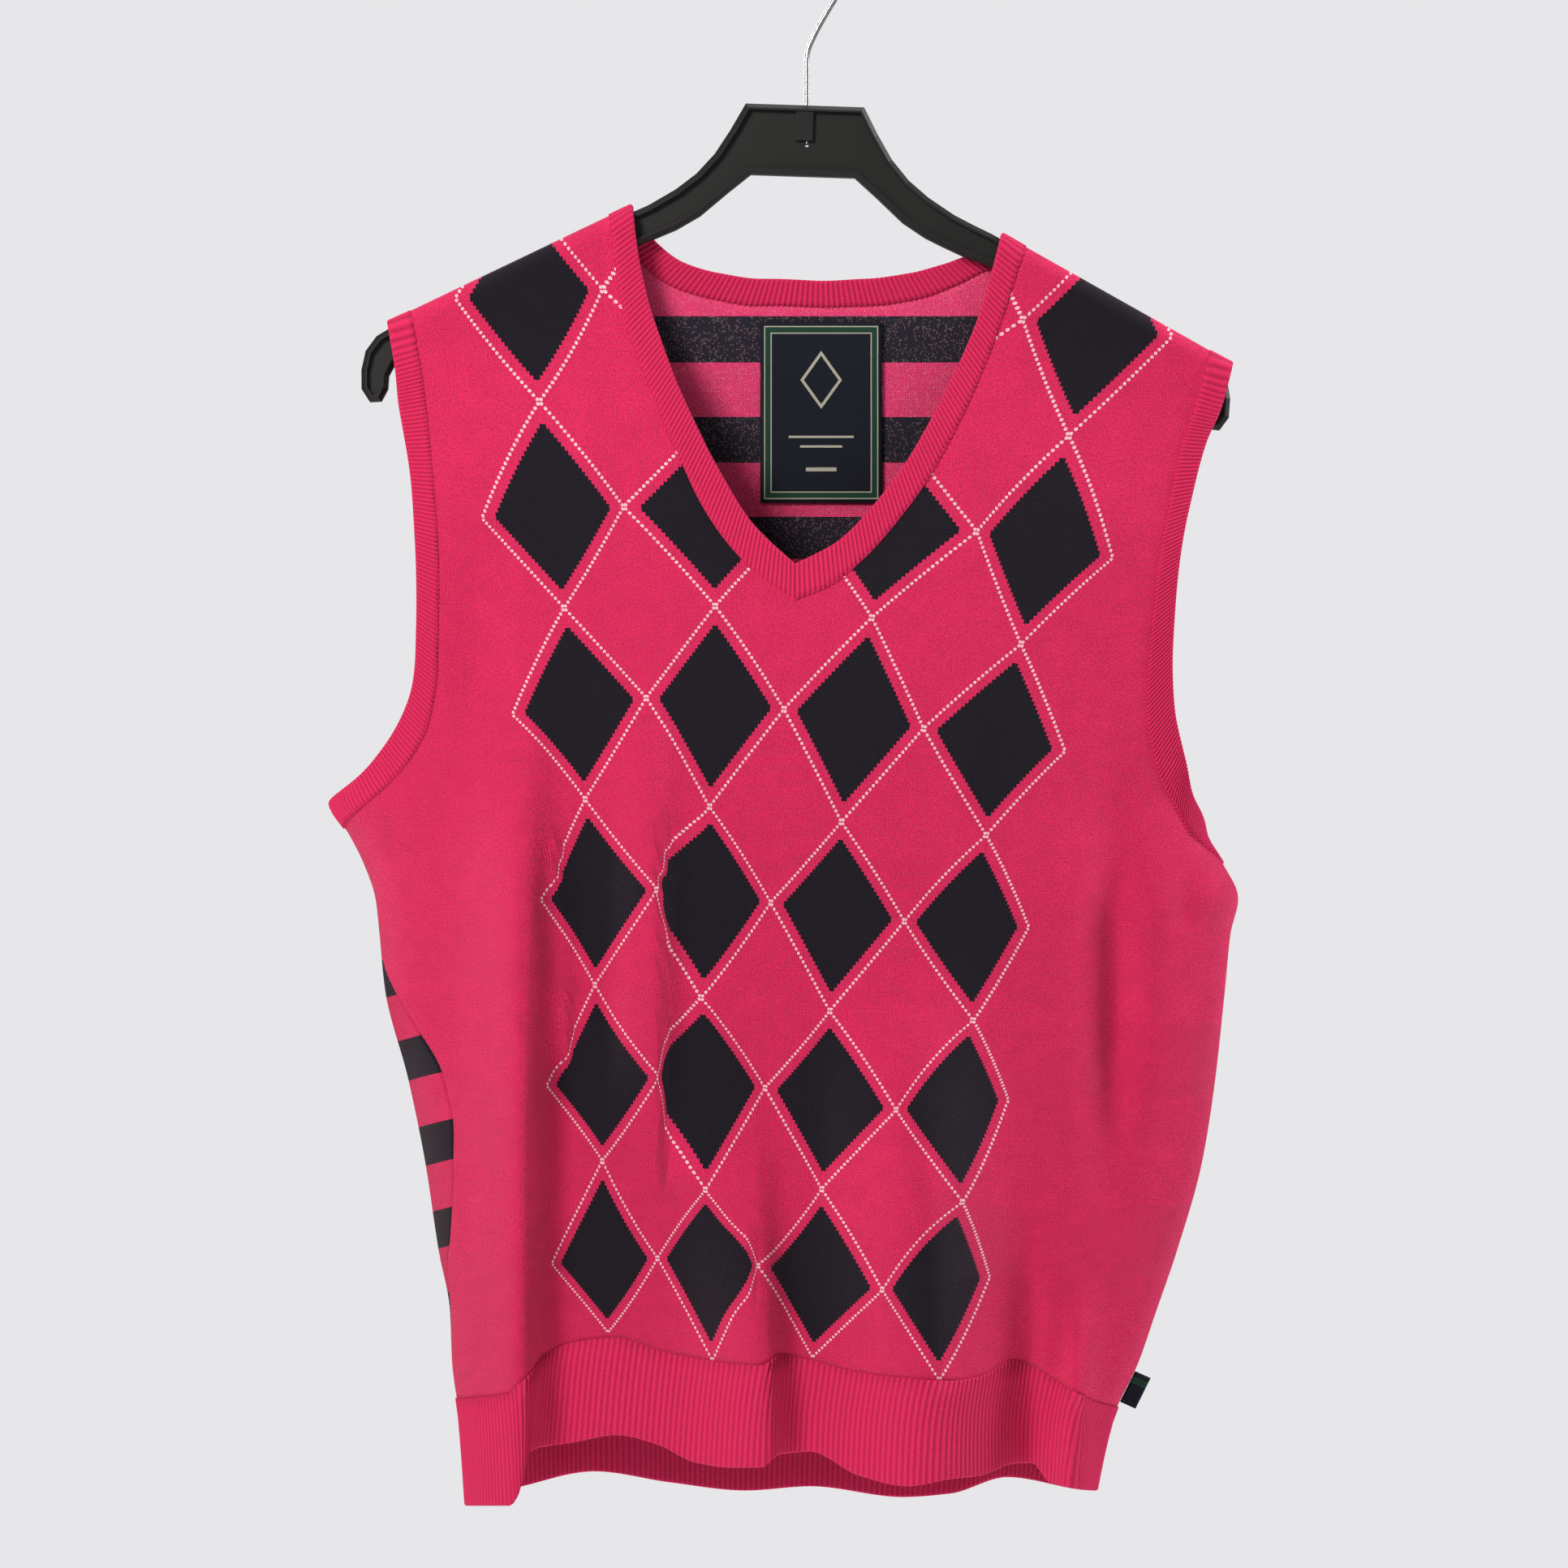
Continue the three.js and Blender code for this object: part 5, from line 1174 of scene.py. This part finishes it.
# How much each changes the yarn's tone, the painted shade of the relief, and the factor with none of them
FLECK_SHADE = 0.95
PATCH_SHADE = 0.22
RELIEF_PAINTED_SHADE = 0.20
LEAST_SHADE = 0.33
# Share of the inside that is left without pale fibres, and how pale the rest is
SPECK_FREE = 0.85
SPECK_PALE = 0.12


def knit_material(name, pattern):
    """Fine wool jersey: melange yarn with its stitches in relief and in painted shade, and a soft sheen of
    loose fibres, of which the paler inside shows more."""
    material, tree = new_material(name)
    place, u, v, side = cloth_axes(tree)
    fleck = add(tree, "TexNoise", {"Vector": place, "Scale": 1 / FLECK, "Detail": 2.0})
    patch_noise = add(tree, "TexNoise", {"Vector": place, "Scale": 1 / PATCH, "Detail": 4.0})
    fibre = add(tree, "TexWhiteNoise", [add(tree, "VectorMath", [place, [SPECK] * 3], operation="SNAP")])
    pink = add(tree, "Mix", {0: side, 6: colour(PINK_INSIDE), 7: colour(PINK)}, **COLOURS)
    navy = add(tree, "Mix", {0: side, 6: colour(NAVY_INSIDE), 7: colour(NAVY)}, **COLOURS)
    shares = pattern(tree, u, v)
    yarn = add(tree, "Mix", {0: shares[0], 6: pink, 7: navy}, **COLOURS)
    if len(shares) > 1:
        yarn = add(tree, "Mix", {0: shares[1], 6: yarn, 7: colour(PALE)}, **COLOURS)
    inside = chain(tree, side, ("MULTIPLY_ADD", -1.0, 1.0))
    speck = chain(tree, fibre, ("GREATER_THAN", SPECK_FREE), ("MULTIPLY", SPECK_PALE), ("MULTIPLY", inside))
    yarn = add(tree, "Mix", {0: speck, 6: yarn, 7: colour(PALE)}, **COLOURS)
    height = knit_height(tree, u, v)
    shade = chain(tree, fleck, ("MULTIPLY_ADD", FLECK_SHADE, LEAST_SHADE))
    shade = chain(tree, patch_noise, ("MULTIPLY_ADD", PATCH_SHADE, shade))
    # Painted shade: the relief makes the colour lighter on the stitches' raised legs and darker in their
    # hollows
    shade = chain(tree, height, ("MULTIPLY_ADD", RELIEF_PAINTED_SHADE, shade))
    relief = chain(tree, fleck, ("MULTIPLY_ADD", 0.8, height))
    bump = add(tree, "Bump", {"Height": relief, "Strength": 0.8, "Distance": 0.35 * MM})
    finish_material(tree, {"Base Color": shaded(tree, yarn, shade), "Normal": bump, **WOOL})
    return material


# Height of a rib's stitches in millimetres, the painted shade of each stitch's relief, how much darker the
# grooves are painted than the ribs' crests, the factor in the grooves, and how much the flecks change the
# tone
RIB_STITCH = 1.25
RIB_STITCH_PAINTED_SHADE = 0.06
RIB_PAINTED_SHADE = 0.34
GROOVE_PAINTED_SHADE = 0.42
RIB_FLECK_SHADE = 0.3


def rib_material():
    """Fine wool rib: plain pink with shade painted between its ribs, each rib's stitches one above the other.
    """
    material, tree = new_material("wool_rib")
    place, u, v, side = cloth_axes(tree)
    fleck = add(tree, "TexNoise", {"Vector": place, "Scale": 1 / FLECK, "Detail": 2.0})
    crest = add(tree, "Attribute", out=2, attribute_name="rib")
    # Painted shade of each stitch's relief, lighter and darker down each rib
    stitch = chain(tree, v, ("MULTIPLY", 2 * np.pi / RIB_STITCH), ("SINE",), ("MULTIPLY", RIB_STITCH_PAINTED_SHADE))
    # Painted shade: the grooves between the ribs are darker than their crests
    shade = chain(tree, crest, ("MULTIPLY_ADD", RIB_PAINTED_SHADE, GROOVE_PAINTED_SHADE), ("ADD", stitch))
    shade = chain(tree, fleck, ("MULTIPLY_ADD", RIB_FLECK_SHADE, shade))
    yarn = shaded(tree, colour(PINK), shade)
    relief = chain(tree, stitch, ("MULTIPLY_ADD", 8.0, fleck))
    bump = add(tree, "Bump", {"Height": relief, "Strength": 0.5, "Distance": 0.25 * MM})
    finish_material(tree, {"Base Color": yarn, "Normal": bump, **WOOL})
    return material


# Tufts of the linking yarn in millimetres, drawn coarser than its fibres so that they show
LINKING_FIBRE = 0.7143


def stitch_material():
    """The wool of the stitches that link the bands on, a little deeper in colour than the knit."""
    material, tree = new_material("linking_wool")
    place = add(tree, "TexCoord", out=3)
    fibre = add(tree, "TexNoise", {"Vector": place, "Scale": 1 / (LINKING_FIBRE * MM), "Detail": 2.0})
    yarn = add(tree, "Mix", {0: fibre, 6: colour(LINKING_DARK), 7: colour(PINK)}, **COLOURS)
    bump = add(tree, "Bump", {"Height": fibre, "Strength": 0.5, "Distance": 0.1 * MM})
    finish_material(tree, {"Base Color": yarn, "Normal": bump, **WOOL})
    return material


# What is woven on the label, in millimetres from the middle of its top edge: plain bars, as the middle and
# half size across and down, a lozenge, and the green frame with its pale lines, by its distance from the
# middle
LABEL_BARS = ((0, 17, -60, 0.6), (0, 11, -65, 0.6), (0, 8, -77, 1.0))
LABEL_HALF_ACROSS = (LABEL["right"] - LABEL["left"]) / 2
LABEL_HALF_DOWN = (LABEL["top"] - LABEL["bottom"]) / 2
LABEL_LOZENGE = {"down": -30, "half_across": 10, "half_down": 14, "line": 0.09}
LABEL_BAND = {"from": 26.2, "to": 29.6, "line": 0.28}
# Spacing of the label's weft, drawn coarser than the real one so that it shows, the size of its threads, both
# in millimetres, and how well the pale thread covers the navy
LABEL_PICK = 0.9
LABEL_THREAD = 0.4545
PALE_THREAD_COVER = 0.75


def label_design(tree, x, y):
    """Shares of green and of pale thread: a green frame between pale lines, a lozenge and three thin bars."""
    from_middle = chain(tree, x, ("ABSOLUTE",))
    # the frame is as far in from the top and low edges as from the sides
    squared = LABEL_HALF_DOWN - LABEL_HALF_ACROSS
    from_centre = chain(tree, y, ("ADD", LABEL_HALF_DOWN), ("ABSOLUTE",), ("SUBTRACT", squared))
    edge_place = chain(tree, from_middle, ("MAXIMUM", from_centre))
    band_middle = (LABEL_BAND["from"] + LABEL_BAND["to"]) / 2
    green = chain(tree, edge_place, ("COMPARE", band_middle, (LABEL_BAND["to"] - LABEL_BAND["from"]) / 2))
    across = chain(tree, from_middle, ("DIVIDE", LABEL_LOZENGE["half_across"]))
    down = chain(tree, y, ("SUBTRACT", LABEL_LOZENGE["down"]), ("ABSOLUTE",))
    reach = chain(tree, down, ("DIVIDE", LABEL_LOZENGE["half_down"]), ("ADD", across))
    pale = chain(tree, reach, ("COMPARE", 1.0, LABEL_LOZENGE["line"]))
    for middle, half_across, low, half_down in LABEL_BARS:
        bar = chain(tree, x, ("COMPARE", middle, half_across))
        bar = chain(tree, y, ("COMPARE", low, half_down), ("MULTIPLY", bar))
        pale = chain(tree, pale, ("MAXIMUM", bar))
    for edge in (LABEL_BAND["from"], LABEL_BAND["to"]):
        pale = chain(tree, edge_place, ("COMPARE", edge, LABEL_BAND["line"]), ("MAXIMUM", pale))
    return green, pale


def label_material():
    """Woven label: navy satin with a green frame and matt pale thread, which floats only on its face."""
    material, tree = new_material("woven_label")
    place, x, y, side = cloth_axes(tree)
    green, pale = label_design(tree, x, y)
    face = chain(tree, side, ("MULTIPLY_ADD", -1.0, 1.0))
    thread = add(tree, "TexNoise", {"Vector": place, "Scale": 1 / LABEL_THREAD, "Detail": 1.0})
    field = add(tree, "Mix", {0: green, 6: colour(LABEL_NAVY), 7: colour(LABEL_GREEN)}, **COLOURS)
    weave = chain(tree, y, ("MULTIPLY", 2 * np.pi / LABEL_PICK), ("SINE",), ("MULTIPLY_ADD", 0.4, thread))
    shown = chain(tree, pale, ("MULTIPLY", face), ("MULTIPLY", PALE_THREAD_COVER))
    base = add(tree, "Mix", {0: shown, 6: field, 7: colour(LABEL_LINE)}, **COLOURS)
    bump = add(tree, "Bump", {"Height": weave, "Strength": 0.3, "Distance": 0.2 * MM})
    satin = {"Roughness": 0.75, "Specular IOR Level": 0.12}
    finish_material(tree, {"Base Color": base, "Normal": bump, **satin})
    return material


# The mould's grain, drawn coarser than the real one so that it shows, and the patches that handling has
# polished, in millimetres
MOULD_GRAIN = 1.111
WEAR_PATCH = 55.56


def plastic_material():
    """Moulded black plastic with a fine satin grain, a little glossier where it has been handled."""
    material, tree = new_material("satin_plastic")
    place = add(tree, "TexCoord", out=3)
    grain = add(tree, "TexNoise", {"Vector": place, "Scale": 1 / (MOULD_GRAIN * MM), "Detail": 2.0})
    wear = add(tree, "TexNoise", {"Vector": place, "Scale": 1 / (WEAR_PATCH * MM), "Detail": 3.0})
    rough = chain(tree, wear, ("MULTIPLY_ADD", 0.16, 0.38))
    bump = add(tree, "Bump", {"Height": grain, "Strength": 0.12, "Distance": 0.2 * MM})
    black = {"Base Color": colour(HANGER_BLACK), "Specular IOR Level": 0.3}
    finish_material(tree, {**black, "Roughness": rough, "Normal": bump})
    return material


# Streaks that drawing leaves on the wire, in millimetres
WIRE_STREAK = 3.333


def steel_material():
    """Bright drawn wire."""
    material, tree = new_material("drawn_wire")
    place = add(tree, "TexCoord", out=3)
    streak = add(tree, "TexNoise", {"Vector": place, "Scale": 1 / (WIRE_STREAK * MM), "Detail": 2.0})
    rough = chain(tree, streak, ("MULTIPLY_ADD", 0.12, 0.16))
    finish_material(tree, {"Base Color": colour(STEEL), "Metallic": 1.0, "Roughness": rough})
    return material


FLOOR_GLOW = 0.3


def studio_material():
    """Pale floor paint that is lit from above, and clear from below so that it doesn't hide the vest."""
    material, tree = new_material("studio_paint")
    shades = {"Base Color": colour(STUDIO), "Roughness": 0.9, "Specular IOR Level": 0.1}
    glow = {"Emission Color": colour(STUDIO), "Emission Strength": FLOOR_GLOW}
    paint = add(tree, "BsdfPrincipled", {**shades, **glow})
    from_below = add(tree, "NewGeometry", out=6)
    shown = add(tree, "MixShader", [from_below, paint, add(tree, "BsdfTransparent")])
    add(tree, "OutputMaterial", [shown])
    return material


DEPTHWISE = np.array([0, 1, 0])
# The hook, in millimetres: its stem as places seen from the front, and its round part's angles in degrees
HOOK_RADIUS = 22.6
WIRE_RADIUS = 1.4
HOOK_FOOT = -117.5
HOOK_STEM = ((0, HOOK_FOOT), (0, -95), (0, -74), (0.5, -68.5), (3.2, -61.5))
HOOK_ARC = (-29, 196)
ARC_POINTS = 48
WIRE_RINGS = 150
WIRE_SIDES = 20
WIRE_END_LEAST = 0.3


def hook():
    """The wire hook, swept round along its path, with a rounded tip."""
    angles = np.radians(np.linspace(*HOOK_ARC, ARC_POINTS))
    arc_z = WIRE_RADIUS - HOOK_RADIUS + HOOK_RADIUS * np.sin(angles)
    arc = np.stack([HOOK_RADIUS * np.cos(angles), arc_z], axis=-1)
    path = np.vstack([HOOK_STEM, arc])
    keys = np.concatenate([[0], np.cumsum(np.linalg.norm(np.diff(path, axis=0), axis=1))])
    at = np.linspace(0, keys[-1], WIRE_RINGS)
    x, z = through(keys, path[:, 0])(at), through(keys, path[:, 1])(at)
    along = np.gradient(np.stack([x, z], axis=-1), axis=0)
    along /= np.linalg.norm(along, axis=1, keepdims=True)
    round_angles = np.linspace(0, 2 * np.pi, WIRE_SIDES, endpoint=False)
    to_tip = np.minimum((keys[-1] - at) / WIRE_RADIUS, 1)
    radius = WIRE_RADIUS * np.sqrt(1 - (1 - to_tip) ** 2).clip(WIRE_END_LEAST)
    side = np.stack([along[:, 1], np.zeros(len(at)), -along[:, 0]], axis=-1)
    centres = np.stack([x, np.zeros(len(at)), z], axis=-1)
    spokes = side[:, None] * np.cos(round_angles)[:, None] + DEPTHWISE * np.sin(round_angles)[:, None]
    rings = centres[:, None] + spokes * radius[:, None, None]
    ids = grid_ids(rings)
    quads = grid_quads(np.hstack([ids, ids[:, :1]]))
    faces = [*quads, ids[0][::-1], ids[-1]]
    return mesh_object("hook", rings.reshape(-1, 3) * MM, faces)


VEST_MIDDLE = (0.0, 0.0, -0.45)
VEST_TOP = (-0.05, 0.0, -0.2)
VEST_RIGHT = (0.15, 0.0, -0.35)
# Each soft lamp: its place and what it points at in metres, its width, its power in watts and its tint
LAMPS = {
    "key": ((-1.2, -1.6, 0.65), VEST_TOP, 0.7, 50, "#FFFBF5"),
    "right": ((1.8, 0.12, 0.55), VEST_RIGHT, 0.7, 36, "#F8F9FF"),
    "low": ((0.0, -1.9, -1.3), VEST_MIDDLE, 0.8, 4, "#FFFFFF"),
    "top": ((0.1, 0.3, 1.6), VEST_MIDDLE, 1.4, 12, "#FFFFFF"),
    "back": ((-0.6, 2.4, 0.6), VEST_MIDDLE, 1.6, 60, "#FFFFFF"),
}
# The surround's brightness to the eye, and as a light on the vest
SEEN_STRENGTH = 0.98
LIT_STRENGTH = 0.35
FLOOR_DOWN = -1.7
FLOOR_RADIUS = 3.4
FLOOR_STEP = 5


def soft_lamp(name, place, target, width, power, tint):
    """A round area lamp that points at a place."""
    data = bpy.data.lights.new(name, "AREA")
    data.shape = "DISK"
    data.size = width
    data.energy = power
    data.color = colour(tint)[:3]
    lamp = bpy.data.objects.new(name, data)
    lamp.location = place
    lamp.rotation_euler = (Vector(target) - Vector(place)).to_track_quat("-Z", "Y").to_euler()
    bpy.context.scene.collection.objects.link(lamp)
    return lamp


def pale_floor():
    """A round floor far below the vest."""
    turns = np.radians(np.arange(0, 360, FLOOR_STEP))
    down = np.full(len(turns), FLOOR_DOWN)
    rim = np.stack([FLOOR_RADIUS * np.cos(turns), FLOOR_RADIUS * np.sin(turns), down], axis=-1)
    floor = mesh_object("floor", rim, [np.arange(len(turns))])
    floor.data.materials.append(studio_material())
    return floor


def surround():
    """An even pale surround that is dimmer as a light than it looks."""
    world = bpy.data.worlds.new("surround")
    world.use_nodes = True
    tree = world.node_tree
    background = tree.nodes["Background"]
    background.inputs["Color"].default_value = colour(STUDIO)
    seen = add(tree, "LightPath")
    strength = chain(tree, seen, ("MULTIPLY_ADD", SEEN_STRENGTH - LIT_STRENGTH, LIT_STRENGTH))
    tree.links.new(strength, background.inputs["Strength"])
    return world


def studio():
    """A pale floor and surround, and soft lamps: the key from the front left."""
    lamps = [soft_lamp(name, *lamp) for name, lamp in LAMPS.items()]
    pale_floor()
    bpy.context.scene.world = surround()
    bpy.context.scene.view_settings.view_transform = "Standard"


# Width of the picture in the hanger's plane and of the camera's sensor: metres and millimetres
VIEW_WIDTH = 0.8211
SENSOR = 36.0


def camera():
    """The eye that the tables are measured from, level and square to the vest."""
    data = bpy.data.cameras.new("camera")
    data.sensor_width = SENSOR
    data.lens = SENSOR * EYE_DISTANCE * MM / VIEW_WIDTH
    eye = bpy.data.objects.new("camera", data)
    eye.location = (EYE_X * MM, -EYE_DISTANCE * MM, EYE_Z * MM)
    eye.rotation_euler = (HALF_PI, 0, 0)
    bpy.context.scene.collection.objects.link(eye)
    bpy.context.scene.camera = eye


def dressed_pieces():
    """Each piece of the vest and its hook, with the solid that it stands for, its slot and its material."""
    front_knit = knit_material("wool_argyle", argyle)
    back_knit = knit_material("wool_stripes", lambda tree, u, v: [stripes(tree, v)])
    rib_knit = rib_material()
    woven = label_material()
    necks = neck_bands()
    return (
        (front_panel(), "front_panel", "front_knit", front_knit),
        (back_panel(), "back_panel", "back_knit", back_knit),
        (hem_band("hem_front", -HALF_PI, HALF_PI), "hem_rib_front", "rib_knit", rib_knit),
        (hem_band("hem_back", HALF_PI, 3 * HALF_PI), "hem_rib_back", "rib_knit", rib_knit),
        (necks["left"], "neck_band_left", "rib_knit", rib_knit),
        (necks["right"], "neck_band_right", "rib_knit", rib_knit),
        (necks["back"], "neck_band_back", "rib_knit", rib_knit),
        (armhole_band("left"), "armhole_band_left", "rib_knit", rib_knit),
        (armhole_band("right"), "armhole_band_right", "rib_knit", rib_knit),
        (neck_label(), "neck_label", "woven_label", woven),
        (side_tag(), "side_tag", "woven_label", woven),
        (hook(), "hanger_hook", "hook_steel", steel_material()),
    )


def main():
    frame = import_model()
    camera()
    pieces = dressed_pieces()
    for piece, node, slot, material in pieces:
        piece.data.materials.append(material)
        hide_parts(node)
        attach(piece, "root")
    seams = [armhole_curve(side, "seam", back) for side in ("left", "right") for back in (False, True)]
    seams += [neck_curve("left", "seam"), neck_curve("right", "seam"), back_neck_curve("seam")]
    stitches = linking_stitches("linking_stitches", seams, stitch_material())
    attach(stitches, "root")
    hanger = frame["nodes"]["hanger_body"]
    hanger.data.materials.clear()
    hanger.data.materials.append(plastic_material())
    studio()


main()
